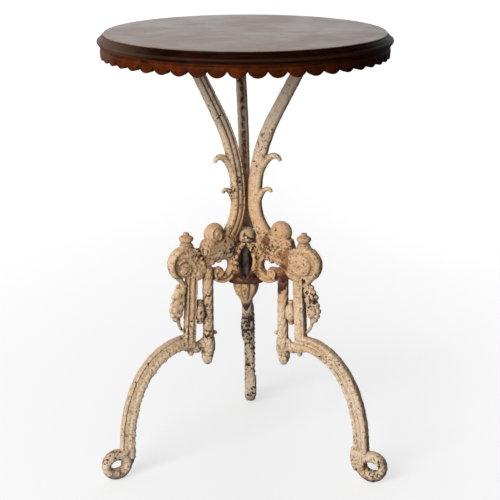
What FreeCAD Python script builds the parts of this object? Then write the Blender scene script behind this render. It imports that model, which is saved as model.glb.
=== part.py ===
import FreeCAD, Part
import math
import os
import Sketcher

# Driving dimensions in millimetres
sizes = {
    # whole table
    "table_height": 737.0,
    "joint_gap": 0.15,
    "overrun": 2.0,
    # round top
    "top_radius": 242.0,
    "top_thickness": 19.0,
    "top_lip": 11.4,
    "top_lip_drop": 3.2,
    "rim_bead_radius": 3.4,
    "rim_fillet": 2.6,
    # scalloped apron and the blocks behind it
    "apron_setback": 5.0,
    "apron_thickness": 12.0,
    "apron_depth": 21.5,
    "scallop_depth": 8.6,
    "glue_block_length": 34.0,
    "glue_block_width": 12.0,
    "glue_block_height": 9.0,
    # leg casting
    "leg_reach": 248.5,
    "stand_height": 391.0,
    "leg_width": 25.5,
    "leg_thickness": 16.5,
    "ankle_height": 50.0,
    "ankle_setback": 22.0,
    "foot_ring_radius": 26.5,
    "foot_hole_radius": 11.0,
    "foot_ring_thickness": 19.5,
    "foot_heel_radius": 34.5,
    "foot_flat": 0.6,
    "cuff_step": 2.6,
    "cuff_height": 34.0,
    "cuff_thickness": 19.5,
    "bridge_height": 18.0,
    "bridge_thickness": 15.0,
    "bridge_drop": 10.5,
    "bridge_boss_radius": 11.0,
    "bridge_boss_lip": 1.0,
    "bud_radius": 5.0,
    "fluted_post_width": 19.5,
    "fluted_post_thickness": 16.0,
    "eye_radius": 31.0,
    "eye_thickness": 19.5,
    "eye_core_radius": 24.0,
    "eye_core_thickness": 12.0,
    "eye_boss_radius": 13.6,
    "eye_boss_rise": 4.0,
    "eye_band_width": 11.0,
    "eye_tail_width": 8.5,
    "eye_tail_thickness": 15.0,
    "finial_seat_radius": 12.0,
    "finial_seat_spread": 24.0,
    "finial_seat_thickness": 16.5,
    "finial_seat_lip": 2.0,
    "finial_offset": 2.5,
    "shoulder_thickness": 15.0,
    "shoulder_lobe_radius": 6.5,
    "shoulder_lobe_thickness": 17.5,
    "scroll_radius": 21.5,
    "scroll_width": 16.0,
    "scroll_thickness": 16.5,
    "volute_radius": 10.5,
    "volute_thickness": 18.5,
    "hub_radius": 20.0,
    "knuckle_height": 12.0,
    "hub_web_thickness": 14.0,
    "hub_lens_reach": 25.6,
    "hub_lens_radius": 30.0,
    "hub_lens_width": 12.5,
    "hub_lens_thickness": 25.0,
    # posts and ornaments of a leg
    "rope_post_radius": 10.0,
    "rope_groove": 2.4,
    "bead_radius": 9.0,
    "bead_length": 43.0,
    "bead_cap_length": 7.5,
    "bead_cap_radius": 5.6,
    "finial_radius": 12.2,
    "finial_height": 21.0,
    "finial_collar_radius": 9.5,
    "finial_collar_height": 3.5,
    "stud_radius": 2.5,
    "stud_length": 9.0,
    "acorn_radius": 10.8,
    "acorn_offset": 2.0,
    "acorn_length": 24.0,
    "spray_lobe_radius": 14.5,
    "spray_thickness": 13.0,
    "spray_tip_radius": 5.0,
    "spray_stem_width": 8.0,
    # arm casting
    "arm_width": 23.0,
    "arm_foot_width": 28.0,
    "arm_thickness": 20.0,
    "arm_waist_reach": 16.5,
    "arm_bend_radius": 300.0,
    "arm_hook_radius": 88.0,
    "arm_curl_radius": 22.0,
    "arm_foot_trim": 5.0,
    "ball_radius": 19.4,
    "ball_thickness": 27.0,
    "arm_pad_length": 62.0,
    "arm_pad_width": 26.0,
    "arm_pad_thickness": 6.0,
    "leaf_radius": 17.0,
    "small_leaf_radius": 11.5,
    "leaf_band": 6.5,
    "leaf_thickness": 14.0,
    "arm_seat_width": 24.0,
    "arm_seat_depth": 14.0,
    "arm_stud_radius": 3.5,
    "arm_stud_length": 22.0,
    # screws that hold the top
    "screw_radius": 2.2,
    "screw_head_radius": 4.4,
    "screw_head_height": 2.6,
    "screw_bite": 12.0,
    # hub hardware
    "rod_radius": 5.0,
    "rod_bite": 16.0,
    "cap_nut_radius": 15.2,
    "cap_nut_height": 23.0,
    "cap_nut_wall_height": 7.0,
    "collar_radius": 28.5,
    "collar_height": 7.0,
    "pendant_radius": 22.0,
    "pendant_neck_radius": 9.5,
    "pendant_cup_height": 31.0,
    "pendant_tip_height": 20.0,
    "flute_radius": 3.4,
}

# Angles in degrees
angles = {
    "arm_lead": 7.0,
    "arm_splay": 29.0,
    "arm_hook_turn": 40.0,
    "apron_turn": -87.5,
    "rope_turn": 480.0,
}

# How many there are of what is repeated
counts = {
    "apron_segments": 6,
    "segment_scallops": 8,
    "pendant_flutes": 8,
    "rope_strands": 6,
}

# Places in a leg's radial plane, as shares of the leg's reach and of the stand's height
rope_post_share = 0.2938
knee_shares = (0.4306, 0.564)
knee_bend_share = 0.86
fluted_post_shares = (0.4386, 0.4157)
eye_reach_share = 0.4628
shoulder_foot_share = 0.872
seat_share = 0.982
scroll_shares = (0.189, 0.882)
lobe_reach_shares = (0.189, 0.2295)
lobe_height_share = 0.9105
hub_foot_share = 0.808
bead_height_share = 0.6905
bud_reach_share = 0.4246
spray_lobe_shares = ((0.512, 0.785), (0.528, 0.725))
spray_tip_shares = (0.5395, 0.668)
spray_foot_shares = (0.483, 0.59)
spray_head_share = 0.8
spray_thickness_shares = (0.75, 0.65, 0.55)

# The shoulder's upper edge by the eye scroll, as shares of the eye's radius from its centre
valley_shares = ((-0.6, 0.7), (0, 0.5))
scroll_root_share = 0.8
web_reach_share = 0.6
web_height_share = 0.9
eye_tail_share = 0.815

# Bends of the scrolls in degrees, and where the volutes lie in them
scroll_start_turn = 125.0
scroll_turn = 175.0
eye_band_start_turn = -52.0
eye_band_turn = 166.0
hub_lens_turn = 102.0
volute_turn = -56.0
volute_reach_share = 0.56
curl_turn = 130.0
ball_turn = -36.0
ball_reach_share = 0.6
leaf_start_turn = 20.0
leaf_turn = 175.0

# Leaf curls: shares of the rise from the arm's seat to the top, where each curl springs
leaf_rise_shares = (0.4162, 0.2605)

# Cross-sections: share along the width from the inner edge, share of half the thickness
leg_section_shares = ((0, 0.5), (0.08, 0.9), (0.36, 1), (0.43, 0.6), (0.52, 0.88), (0.76, 0.9), (0.83, 0.5),
                      (0.9, 0.8), (1, 0.5))
post_section_shares = ((0, 0.6), (0.1, 1), (0.3, 1), (0.4, 0.65), (0.6, 0.65), (0.7, 1), (0.9, 1), (1, 0.6))
scroll_section_shares = ((0, 0.6), (0.15, 1), (0.38, 1), (0.5, 0.7), (0.62, 1), (0.85, 1), (1, 0.6))
arm_section_shares = ((0, 0.5), (0.15, 0.9), (0.4, 1), (0.52, 0.8), (0.64, 0.95), (0.86, 0.8), (1, 0.4))
leaf_section_shares = ((0, 1), (1, 0.6))
volute_section_shares = ((0, 0.6), (0.3, 1), (0.7, 1), (1, 0.6))
foot_section_shares = ((0, 0.5), (0.25, 1), (0.7, 1), (1, 0.45))

# Half outlines of domed discs: share of the radius, share of half the thickness
volute_dome_shares = ((0, 1), (0.6, 0.95), (0.9, 0.6), (1, 0))
ball_dome_shares = ((0, 1), (0.5, 0.92), (0.8, 0.66), (1, 0))

# Outlines of turned pieces: share of the radius, share of the height
finial_shares = ((0.7, 0.2), (0.95, 0.32), (1, 0.46), (0.88, 0.62), (0.45, 0.8), (0.2, 0.87), (0.16, 0.96))
acorn_shares = ((0.12, 0), (0.45, 0.12), (0.8, 0.42), (0.9, 0.62), (0.84, 0.72), (1, 0.8), (1, 0.95),
                (0.8, 1))
bead_shares = ((0.9, 0.4), (1, 1))
bead_cap_shares = ((0.6, 0), (1, 0.5), (0.75, 1))
collar_shares = ((0.78, 0), (1, 0.6), (0.9, 1))
pendant_tip_shares = ((0.35, 0), (0.95, 0.8), (1, 1))
pendant_cup_shares = ((0.78, 0.35), (0.95, 0.7), (1, 1))
flute_foot_share = 0.5
bead_arc_shares = (0.688, 1.9)

# Steps of the shapes built up level by level
swell_steps = 8
rope_levels = 24

azimuths = {"back": 90.0, "left": 210.0, "right": 330.0}

doc = FreeCAD.newDocument("tripod_table")
sheet = doc.addObject("Spreadsheet::Sheet", "Sizes")
for row, (alias, value) in enumerate({**sizes, **angles, **counts}.items(), start=1):
    sheet.set(f"A{row}", alias)
    sheet.set(f"B{row}", str(value))
    sheet.setAlias(f"B{row}", alias)
doc.recompute()

across = FreeCAD.Vector(0, 1, 0)
upright = FreeCAD.Vector(0, 0, 1)
nodes = []


class Size:
    """A length with its present value and the spreadsheet formula behind it."""

    def __init__(self, value, formula):
        self.value = float(value)
        self.formula = formula

    def join(self, other, sign, value):
        term = other.formula if isinstance(other, Size) else str(other)
        return Size(value, f"({self.formula} {sign} {term})")

    def __add__(self, other):
        return self.join(other, "+", self.value + number(other))

    def __sub__(self, other):
        return self.join(other, "-", self.value - number(other))

    def __mul__(self, other):
        return self.join(other, "*", self.value * number(other))

    def __truediv__(self, other):
        return self.join(other, "/", self.value / number(other))

    def root(self):
        return Size(math.sqrt(self.value), f"sqrt({self.formula})")


def number(item):
    return item.value if isinstance(item, Size) else float(item)


def size(alias):
    return Size(sheet.get(alias), f"Sizes.{alias}")


def mm(alias):
    return float(sheet.get(alias))


def bind(item, prop, length):
    item.setExpression(prop, length.formula)


# Places worked out from the driving dimensions
zero = Size(0, "0")
board_foot = size("table_height") - size("top_thickness")
rope_reach = size("leg_reach") * rope_post_share
knee_height = size("stand_height") * knee_shares[1]
bridge_top = knee_height - size("bridge_drop") + size("bridge_height") / 2
bridge_foot = bridge_top - size("bridge_height")
boss_top = bridge_top + size("bridge_boss_lip")
boss_foot = bridge_foot - size("bridge_boss_lip")
eye_reach = size("leg_reach") * eye_reach_share
eye_height = size("stand_height") - size("eye_radius") - size("finial_seat_lip")
shoulder_foot = size("stand_height") * shoulder_foot_share
seat_height = size("stand_height") * seat_share
hub_foot = size("stand_height") * hub_foot_share
collar_foot = hub_foot - size("collar_height")
hook_turn = math.radians(mm("arm_hook_turn"))
splay = math.radians(mm("arm_splay"))
curl_height = seat_height - size("arm_foot_trim") + size("arm_width") / 2 + size("arm_curl_radius")
curl_gap = size("arm_hook_radius") - size("arm_curl_radius")
curl_reach = size("arm_waist_reach") + size("arm_hook_radius") - curl_gap * math.cos(hook_turn)
waist_height = curl_height + curl_gap * math.sin(hook_turn)
bend_end_reach = size("arm_waist_reach") + size("arm_bend_radius") * (1 - math.cos(splay))
bend_end_height = waist_height + size("arm_bend_radius") * math.sin(splay)
pad_reach = bend_end_reach + (board_foot - bend_end_height) * math.tan(splay)
pad_foot = board_foot - size("arm_pad_thickness")
screw_offset = size("arm_pad_length") / 2 - size("screw_head_radius") * 2
screw_reaches = (pad_reach - screw_offset, pad_reach + screw_offset)
rod_bore = size("rod_radius") + size("joint_gap")
apron_radius = size("top_radius") - size("apron_setback")
finial_reach = eye_reach - size("finial_offset")
acorn_reach = rope_reach + size("acorn_offset")


# Document helpers

def place(item, azimuth, reach, height, side=zero):
    """Stand an item at a reach from the table's axis, turned to face outwards."""
    turn = math.radians(azimuth)
    item.Placement = FreeCAD.Placement(FreeCAD.Vector(), FreeCAD.Rotation(upright, azimuth))
    bind(item, "Placement.Base.x", reach * math.cos(turn) - side * math.sin(turn))
    bind(item, "Placement.Base.y", reach * math.sin(turn) + side * math.cos(turn))
    bind(item, "Placement.Base.z", height)


def keep(item, label):
    item.Label = label
    nodes.append(item)
    return item


def origin_item(body, role):
    return [item for item in body.Origin.OriginFeatures if item.Role == role][0]


def attached_sketch(body, name, role):
    sketch = body.newObject("Sketcher::SketchObject", name)
    sketch.AttachmentSupport = [(origin_item(body, role), "")]
    sketch.MapMode = "FlatFace"
    return sketch


def constrain(sketch, kind, edge, end, length):
    """Hold an edge, or one end of it, to a formula of the spreadsheet."""
    if end is None:
        sketch.addConstraint(Sketcher.Constraint(kind, edge, length.value))
    else:
        sketch.addConstraint(Sketcher.Constraint(kind, edge, end, length.value))
    bind(sketch, f"Constraints[{sketch.ConstraintCount - 1}]", length)


def outline_edge(sketch, corner, following):
    """A line to the next corner, or an arc that swells to the right where a radius is given."""
    start = FreeCAD.Vector(corner[0].value, corner[1].value)
    end = FreeCAD.Vector(following[0].value, following[1].value)
    if len(corner) == 2:
        return sketch.addGeometry(Part.LineSegment(start, end)), 1, 2
    radius = corner[2]
    chord = end - start
    rise = radius.value - math.sqrt(radius.value ** 2 - (chord.Length / 2) ** 2)
    outward = FreeCAD.Vector(chord.y, -chord.x).normalize()
    edge = sketch.addGeometry(Part.Arc(start, (start + end) / 2 + outward * rise, end))
    constrain(sketch, "Radius", edge, None, radius)
    first_gap = (sketch.getPoint(edge, 1) - start).Length
    last_gap = (sketch.getPoint(edge, 2) - start).Length
    return (edge, 1, 2) if first_gap < last_gap else (edge, 2, 1)


def outline_sketch(body, name, role, corners):
    """A closed outline with every corner bound to its formulas."""
    sketch = attached_sketch(body, name, role)
    edges = [outline_edge(sketch, corner, following)
             for corner, following in zip(corners, corners[1:] + corners[:1])]
    for index, (edge, first, last) in enumerate(edges):
        before, before_first, before_last = edges[index - 1]
        sketch.addConstraint(Sketcher.Constraint("Coincident", before, before_last, edge, first))
        places = (("DistanceX", corners[index][0], -2), ("DistanceY", corners[index][1], -1))
        for kind, length, axis in places:
            if length.value == 0:
                sketch.addConstraint(Sketcher.Constraint("PointOnObject", edge, first, axis))
            else:
                constrain(sketch, kind, edge, first, length)
    return sketch


def turned(name, corners):
    """A body turned about its own upright axis from an outline of radius and height."""
    body = doc.addObject("PartDesign::Body", name)
    sketch = outline_sketch(body, f"{name}_outline", "XZ_Plane", corners)
    turn = body.newObject("PartDesign::Revolution", f"{name}_turn")
    turn.Profile = sketch
    turn.ReferenceAxis = (sketch, ["V_Axis"])
    return body, turn


def polar(body, feature, count, angle):
    pattern = body.newObject("PartDesign::PolarPattern", f"{feature.Name}_pattern")
    pattern.Originals = [feature]
    pattern.Axis = (origin_item(body, "Z_Axis"), [""])
    pattern.Angle = angle
    pattern.Occurrences = count
    body.Tip = pattern


def scaled(shares, radius, height, foot=zero):
    """Corners of an outline from shares of a radius and of a height above a foot."""
    return [(radius * out if out else zero, foot + height * up if up else foot) for out, up in shares]


# Radial-plane shapes, drawn with X as reach, Z as height and Y across

def spot(reach, height, side=0.0):
    return FreeCAD.Vector(number(reach), number(side), number(height))


def heading(angle):
    return FreeCAD.Vector(math.cos(math.radians(angle)), 0, math.sin(math.radians(angle)))


def bearing(angle):
    return FreeCAD.Vector(math.cos(math.radians(angle)), math.sin(math.radians(angle)), 0)


def polygon_face(corners):
    return Part.Face(Part.makePolygon(corners + corners[:1]))


def moulded(width, thickness, shares):
    """A closed section from one face's points, mirrored to the other face."""
    face = [((along - 1 / 2) * width, depth * thickness / 2) for along, depth in shares]
    return face + [(offset, -depth) for offset, depth in reversed(face)]


def section_face(section, middle, outward):
    return polygon_face([middle + outward * offset + across * depth for offset, depth in section])


def bend(section, centre, radius, start, turn):
    """A section carried round a centre, anticlockwise with reach to the right and height up."""
    face = section_face(section, centre + heading(start) * radius, heading(start))
    return face.revolve(centre, across * -1, turn)


def swelling_bend(widths, thickness, shares, centre, radius, start, turn):
    """A section carried round a centre that grows from one width to another on the way."""
    outlines = []
    for step in range(swell_steps + 1):
        share = step / swell_steps
        width = widths[0] + (widths[1] - widths[0]) * share
        outward = heading(start + turn * share)
        face = section_face(moulded(width, thickness, shares), centre + outward * radius, outward)
        outlines.append(face.OuterWire)
    return Part.makeLoft(outlines, True, True)


def plate(corners, thickness):
    """A flat outline in the radial plane, as thick on both sides of it."""
    near = [corner - across * (thickness / 2) for corner in corners]
    return polygon_face(near).extrude(across * thickness)


def disc(centre, radius, thickness):
    return Part.makeCylinder(radius, thickness, centre - across * (thickness / 2), across)


def turned_disc(centre, face):
    """A disc square to the radial plane from the outline of one face, alike on both sides."""
    other = [(out, -depth) for out, depth in reversed(face) if depth]
    return section_face(face + other, centre, heading(0)).revolve(centre, across, 360)


def domed_disc(centre, radius, thickness, shares):
    return turned_disc(centre, [(out * radius, depth * thickness / 2) for out, depth in shares])


def bar(start, end, width, thickness):
    """A straight flat bar between two places of the radial plane."""
    side = across.cross((end - start).normalize()) * (width / 2)
    return plate([start - side, start + side, end + side, end - side], thickness)


def united(solids):
    return solids[0].fuse(solids[1:]).removeSplitter()


def slab(foot, depth):
    """A block wider than the table, to trim feet and pads flat."""
    reach = mm("leg_reach") + mm("top_radius")
    return Part.makeBox(reach * 2, reach * 2, depth, FreeCAD.Vector(-reach, -reach, foot))


def radial_feature(name, solid, azimuth):
    item = doc.addObject("Part::Feature", name)
    item.Shape = solid
    item.Placement = FreeCAD.Placement(FreeCAD.Vector(), FreeCAD.Rotation(upright, azimuth))
    return item


# Cabriole leg, ring foot and cuff

def cabriole():
    """Two bends that meet smoothly: tight at the knee, wide down the shin."""
    knee = spot(mm("leg_reach") * knee_shares[0], knee_height)
    ankle = spot(mm("leg_reach") - mm("ankle_setback"), mm("ankle_height"))
    run = ankle.x - knee.x
    drop = knee.z - ankle.z
    tight = run * knee_bend_share
    wide = (2 * drop * tight - run ** 2 - drop ** 2) / (2 * tight - 2 * run)
    tight_centre = knee - upright * tight
    wide_centre = ankle - heading(0) * wide
    joint = tight_centre - wide_centre
    joint_angle = math.degrees(math.atan2(joint.z, joint.x))
    section = moulded(mm("leg_width"), mm("leg_thickness"), leg_section_shares)
    shin = bend(section, wide_centre, wide, 0, joint_angle)
    thigh = bend(section, tight_centre, tight, joint_angle, 90 - joint_angle)
    return [shin, thigh]


def foot_ring_centre():
    return spot(mm("leg_reach"), mm("foot_ring_radius") - mm("foot_flat"))


def foot():
    """The scrolled ring, the heel that swells into it and the cuff behind the ankle."""
    ring_width = mm("foot_ring_radius") - mm("foot_hole_radius")
    section = moulded(ring_width, mm("foot_ring_thickness"), foot_section_shares)
    ring = bend(section, foot_ring_centre(), mm("foot_hole_radius") + ring_width / 2, 0, 360)
    heel = mm("foot_heel_radius")
    heel_centre = spot(mm("leg_reach"), heel - mm("foot_flat"))
    toe = heel_centre - upright * heel
    back = heel_centre - heading(0) * heel
    ankle_inner = spot(back.x, mm("ankle_height"))
    ankle_outer = spot(mm("leg_reach") - mm("foot_hole_radius"), mm("ankle_height"))
    arc = Part.Arc(back, heel_centre + heading(225) * heel, toe).toShape()
    rest = Part.makePolygon([toe, heel_centre, ankle_outer, ankle_inner, back])
    outline = Part.Face(Part.Wire(arc.Edges + rest.Edges))
    outline.translate(across * (-mm("bridge_thickness") / 2))
    sole = outline.extrude(across * mm("bridge_thickness"))
    step = mm("cuff_step")
    cuff_top = mm("ankle_height") + step
    cuff_foot = cuff_top - mm("cuff_height")
    cuff_reach = mm("leg_reach") - mm("foot_ring_radius")
    cuff = plate([
        spot(back.x - step, cuff_foot + step),
        spot(back.x - step, cuff_top - step),
        spot(back.x, cuff_top),
        spot(cuff_reach, cuff_top),
        spot(cuff_reach, cuff_foot),
        spot(back.x, cuff_foot),
    ], mm("cuff_thickness"))
    return [ring, sole, cuff]


# Bridge, posts, eye scroll, shoulder and hub of a leg

def bridge():
    knee_reach = mm("leg_reach") * knee_shares[0] + mm("leg_width") / 4
    web = plate([spot(rope_reach, bridge_foot), spot(knee_reach, bridge_foot),
                 spot(knee_reach, bridge_top), spot(rope_reach, bridge_top)], mm("bridge_thickness"))
    boss_height = number(boss_top - boss_foot)
    boss = Part.makeCylinder(mm("bridge_boss_radius"), boss_height, spot(rope_reach, boss_foot))
    bud = Part.makeSphere(mm("bud_radius"), spot(mm("leg_reach") * bud_reach_share, bridge_foot))
    return [web, boss, bud]


def fluted_post():
    foot_reach, head_reach = [mm("leg_reach") * share for share in fluted_post_shares]
    start = spot(foot_reach, knee_height)
    end = spot(head_reach, eye_height - size("eye_radius") / 2)
    section = moulded(mm("fluted_post_width"), mm("fluted_post_thickness"), post_section_shares)
    return section_face(section, start, heading(0)).extrude(end - start)


def eye_scroll():
    """The rosette, the band that curls round it down to the post, and the finial's seat."""
    centre = spot(eye_reach, eye_height)
    core = mm("eye_core_radius")
    half = mm("eye_core_thickness") / 2
    boss = mm("eye_boss_radius")
    rise = mm("eye_boss_rise")
    top = half + rise
    rosette = turned_disc(centre, [(0, top), (boss - rise / 2, top), (boss, half), (core, half)])
    width = mm("eye_band_width")
    middle = mm("eye_radius") - width / 2
    section = moulded(width, mm("eye_thickness"), foot_section_shares)
    band = bend(section, centre, middle, eye_band_start_turn, eye_band_turn)
    tail_start = centre + heading(eye_band_start_turn) * middle
    tail_end = spot(mm("leg_reach") * fluted_post_shares[0], mm("stand_height") * eye_tail_share)
    tail = bar(tail_start, tail_end, mm("eye_tail_width"), mm("eye_tail_thickness"))
    seat_foot = eye_height + size("eye_radius") / 2
    spread = size("finial_seat_spread")
    narrow = size("finial_seat_radius")
    seat = plate([
        spot(finial_reach - spread, seat_foot),
        spot(finial_reach + spread, seat_foot),
        spot(finial_reach + narrow, size("stand_height")),
        spot(finial_reach - narrow, size("stand_height")),
    ], mm("finial_seat_thickness"))
    return [rosette, band, tail, seat]


def shoulder():
    """The web from the hub to the eye scroll, with two leaf lobes under it."""
    lobe_height = mm("stand_height") * lobe_height_share
    root_reach = mm("leg_reach") * scroll_shares[0] - mm("scroll_radius") * scroll_root_share
    post_edge = number(rope_reach) - mm("bridge_boss_radius")
    knuckle_foot = number(seat_height) - mm("knuckle_height")
    valley = [spot(eye_reach + size("eye_radius") * out, eye_height + size("eye_radius") * up)
              for out, up in valley_shares]
    web = plate([
        spot(mm("rod_radius"), seat_height),
        spot(curl_reach + size("arm_curl_radius"), seat_height),
        *valley,
        spot(eye_reach, shoulder_foot),
        spot(post_edge, shoulder_foot),
        spot(post_edge, lobe_height),
        spot(root_reach, lobe_height),
        spot(mm("hub_radius"), knuckle_foot),
        spot(mm("rod_radius"), knuckle_foot),
    ], mm("shoulder_thickness"))
    lobes = [disc(spot(mm("leg_reach") * share, lobe_height), mm("shoulder_lobe_radius"),
                  mm("shoulder_lobe_thickness")) for share in lobe_reach_shares]
    return [web] + lobes


def scroll():
    """The C-scroll beside the hub and the volute that ends it."""
    centre = spot(mm("leg_reach") * scroll_shares[0], mm("stand_height") * scroll_shares[1])
    section = moulded(mm("scroll_width"), mm("scroll_thickness"), scroll_section_shares)
    band = bend(section, centre, mm("scroll_radius"), scroll_start_turn, scroll_turn)
    volute_centre = centre + heading(volute_turn) * (mm("scroll_radius") * volute_reach_share)
    volute = domed_disc(volute_centre, mm("volute_radius"), mm("volute_thickness"), volute_dome_shares)
    return [band, volute]


def knuckle(height):
    """A third of the hub, whose flat sides meet the next legs."""
    sector = Part.makeCylinder(mm("hub_radius"), mm("knuckle_height"), FreeCAD.Vector(), upright, 120)
    sector.rotate(FreeCAD.Vector(), upright, -60)
    sector.translate(FreeCAD.Vector(mm("joint_gap"), 0, number(height)))
    return sector


def hub():
    web_reach = mm("leg_reach") * scroll_shares[0] - mm("scroll_radius") * web_reach_share
    web_top = hub_foot + size("knuckle_height") * web_height_share
    web = plate([spot(mm("rod_radius"), hub_foot), spot(web_reach, hub_foot), spot(web_reach, web_top),
                 spot(mm("rod_radius"), web_top)], mm("hub_web_thickness"))
    lens = mm("hub_lens_radius")
    lens_centre = spot(mm("hub_lens_reach") - lens, (hub_foot + seat_height) / 2)
    section = moulded(mm("hub_lens_width"), mm("hub_lens_thickness"), volute_section_shares)
    lip = bend(section, lens_centre, lens, hub_lens_turn / -2, hub_lens_turn)
    return [knuckle(hub_foot), knuckle(seat_height - size("knuckle_height")), web, lip]


def arm_seat():
    """The pad on the shoulder, turned to the arm that stands on it."""
    corner = spot(curl_reach - size("arm_curl_radius"), seat_height - size("arm_seat_depth"),
                  size("arm_seat_width") / -2)
    pad = Part.makeBox(mm("arm_curl_radius") * 2, mm("arm_seat_width"), mm("arm_seat_depth"), corner)
    pad.rotate(FreeCAD.Vector(), upright, mm("arm_lead"))
    return pad


def stud_hole():
    """The hole in seat and arm for the stud between them, in the arm's own plane."""
    foot_height = seat_height - size("arm_stud_length") / 2 - size("joint_gap")
    length = mm("arm_stud_length") + mm("joint_gap") * 2
    return Part.makeCylinder(mm("arm_stud_radius") + mm("joint_gap"), length, spot(curl_reach, foot_height))


def rope_room():
    """The rope post's own space, with a clearance round it."""
    return Part.makeCylinder(mm("rope_post_radius") + mm("joint_gap"), number(shoulder_foot - boss_top),
                             spot(rope_reach, boss_top))


def leg_solid():
    solids = cabriole() + foot() + bridge() + [fluted_post()] + eye_scroll() + shoulder() + scroll()
    solids += hub() + [arm_seat()]
    foot_hole = disc(foot_ring_centre(), mm("foot_hole_radius"), mm("cuff_thickness") + mm("overrun"))
    bore = Part.makeCylinder(rod_bore.value, mm("stand_height"))
    arm_stud = stud_hole()
    arm_stud.rotate(FreeCAD.Vector(), upright, mm("arm_lead"))
    clearance = mm("stud_radius") + mm("joint_gap")
    depth = mm("stud_length") + mm("joint_gap")
    finial_hole = Part.makeCylinder(clearance, depth, spot(finial_reach, mm("stand_height") - depth))
    acorn_hole = Part.makeCylinder(clearance, depth, spot(acorn_reach, boss_foot))
    floor = slab(-mm("stand_height"), mm("stand_height"))
    return united(solids).cut([foot_hole, bore, arm_stud, finial_hole, acorn_hole, rope_room(), floor])


# Arm casting with its hooked end, ball volute, leaf curls and screw pad

def leaf_curls(bend_centre):
    """Leaves that spring from the arm's outer edge and curl over."""
    section = moulded(mm("leaf_band"), mm("leaf_thickness"), leaf_section_shares)
    edge = mm("arm_bend_radius") - mm("arm_width") / 2
    curls = []
    for alias, share in zip(("leaf_radius", "small_leaf_radius"), leaf_rise_shares):
        middle = mm(alias) - mm("leaf_band") / 2
        height = number(seat_height + (board_foot - seat_height) * share)
        root = bend_centre.x - math.sqrt(edge ** 2 - (height - bend_centre.z) ** 2)
        curls.append(bend(section, spot(root + middle, height), middle, leaf_start_turn, leaf_turn))
    return curls


def screw_holes():
    """Holes through the pad, with room below them for the screws' heads."""
    holes = []
    for reach in screw_reaches:
        holes.append(Part.makeCylinder(mm("screw_radius") + mm("joint_gap"), mm("arm_pad_thickness"),
                                       spot(reach, pad_foot)))
        holes.append(Part.makeCylinder(mm("screw_head_radius") + mm("overrun"), mm("arm_pad_length"),
                                       spot(reach, pad_foot - size("arm_pad_length"))))
    return holes


def arm_solid():
    section = moulded(mm("arm_width"), mm("arm_thickness"), arm_section_shares)
    waist = spot(size("arm_waist_reach"), waist_height)
    bend_centre = waist + heading(0) * mm("arm_bend_radius")
    upper = bend(section, bend_centre, mm("arm_bend_radius"), 180 - mm("arm_splay"), mm("arm_splay"))
    hook_centre = waist + heading(0) * mm("arm_hook_radius")
    hook = swelling_bend((mm("arm_width"), mm("arm_foot_width")), mm("arm_thickness"), arm_section_shares,
                         hook_centre, mm("arm_hook_radius"), 180, mm("arm_hook_turn"))
    curl_centre = spot(curl_reach, curl_height)
    foot_section = moulded(mm("arm_foot_width"), mm("arm_thickness"), arm_section_shares)
    curl = bend(foot_section, curl_centre, mm("arm_curl_radius"), 180 + mm("arm_hook_turn"), curl_turn)
    ball_centre = curl_centre + heading(ball_turn) * (mm("arm_curl_radius") * ball_reach_share)
    ball = domed_disc(ball_centre, mm("ball_radius"), mm("ball_thickness"), ball_dome_shares)
    stem_length = number(board_foot - bend_end_height) / math.cos(splay) + mm("arm_width")
    stem_face = section_face(section, spot(bend_end_reach, bend_end_height), heading(180 - mm("arm_splay")))
    stem = stem_face.extrude(heading(90 - mm("arm_splay")) * stem_length)
    pad = Part.makeBox(mm("arm_pad_length"), mm("arm_pad_width"), mm("arm_pad_thickness"),
                       spot(pad_reach - size("arm_pad_length") / 2, pad_foot, size("arm_pad_width") / -2))
    under_seat = slab(0, number(seat_height))
    over_pad = slab(number(board_foot), mm("table_height"))
    arm = united([upper, hook, curl, ball, stem] + leaf_curls(bend_centre))
    arm = arm.cut([under_seat, over_pad, stud_hole()] + screw_holes()[1::2])
    return arm.fuse(pad).removeSplitter().cut(screw_holes()[::2])


# Rope-twist post, bead, leaf spray, finial and drop of a leg

def rope_post_solid():
    """Strands laid round a core: a ring of arcs, turned a little at each level and lofted."""
    length = number(shoulder_foot - boss_top)
    strands = int(mm("rope_strands"))
    outer = mm("rope_post_radius")
    inner = outer - mm("rope_groove")
    step = 360 / strands
    outlines = []
    for level in range(rope_levels + 1):
        turn = mm("rope_turn") * level / rope_levels
        middle = spot(rope_reach, boss_top + length * level / rope_levels)
        arcs = []
        for index in range(strands):
            start = turn + step * index
            valley = middle + bearing(start) * inner
            crest = middle + bearing(start + step / 2) * outer
            arcs.append(Part.Arc(valley, crest, middle + bearing(start + step) * inner).toShape())
        outlines.append(Part.Wire(arcs))
    return Part.makeLoft(outlines, True)


def build_bead(name, azimuth):
    """A barrel with two caps, saddled between the rope post and the fluted post."""
    half = size("bead_length") / 2
    lower_cap = scaled(bead_cap_shares, size("bead_cap_radius"), size("bead_cap_length"))
    barrel = half - size("bead_cap_length")
    lower_barrel = scaled(bead_shares, size("bead_radius"), barrel, size("bead_cap_length"))
    lower = lower_cap + lower_barrel
    upper = [(out, size("bead_length") - up) for out, up in reversed(lower[:-1])]
    body, turn = turned(f"{name}_body", [(zero, zero)] + lower + upper + [(zero, size("bead_length"))])
    fluted_reach = size("leg_reach") * (sum(fluted_post_shares) / 2) - size("fluted_post_width") / 2
    reach = (rope_reach + size("rope_post_radius") + fluted_reach) / 2
    place(body, azimuth, reach, size("stand_height") * bead_height_share - half)
    posts = radial_feature(f"{name}_saddle", rope_room().fuse(fluted_post()), azimuth)
    bead = doc.addObject("Part::Cut", name)
    bead.Base = body
    bead.Tool = posts
    return keep(bead, name)


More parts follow.
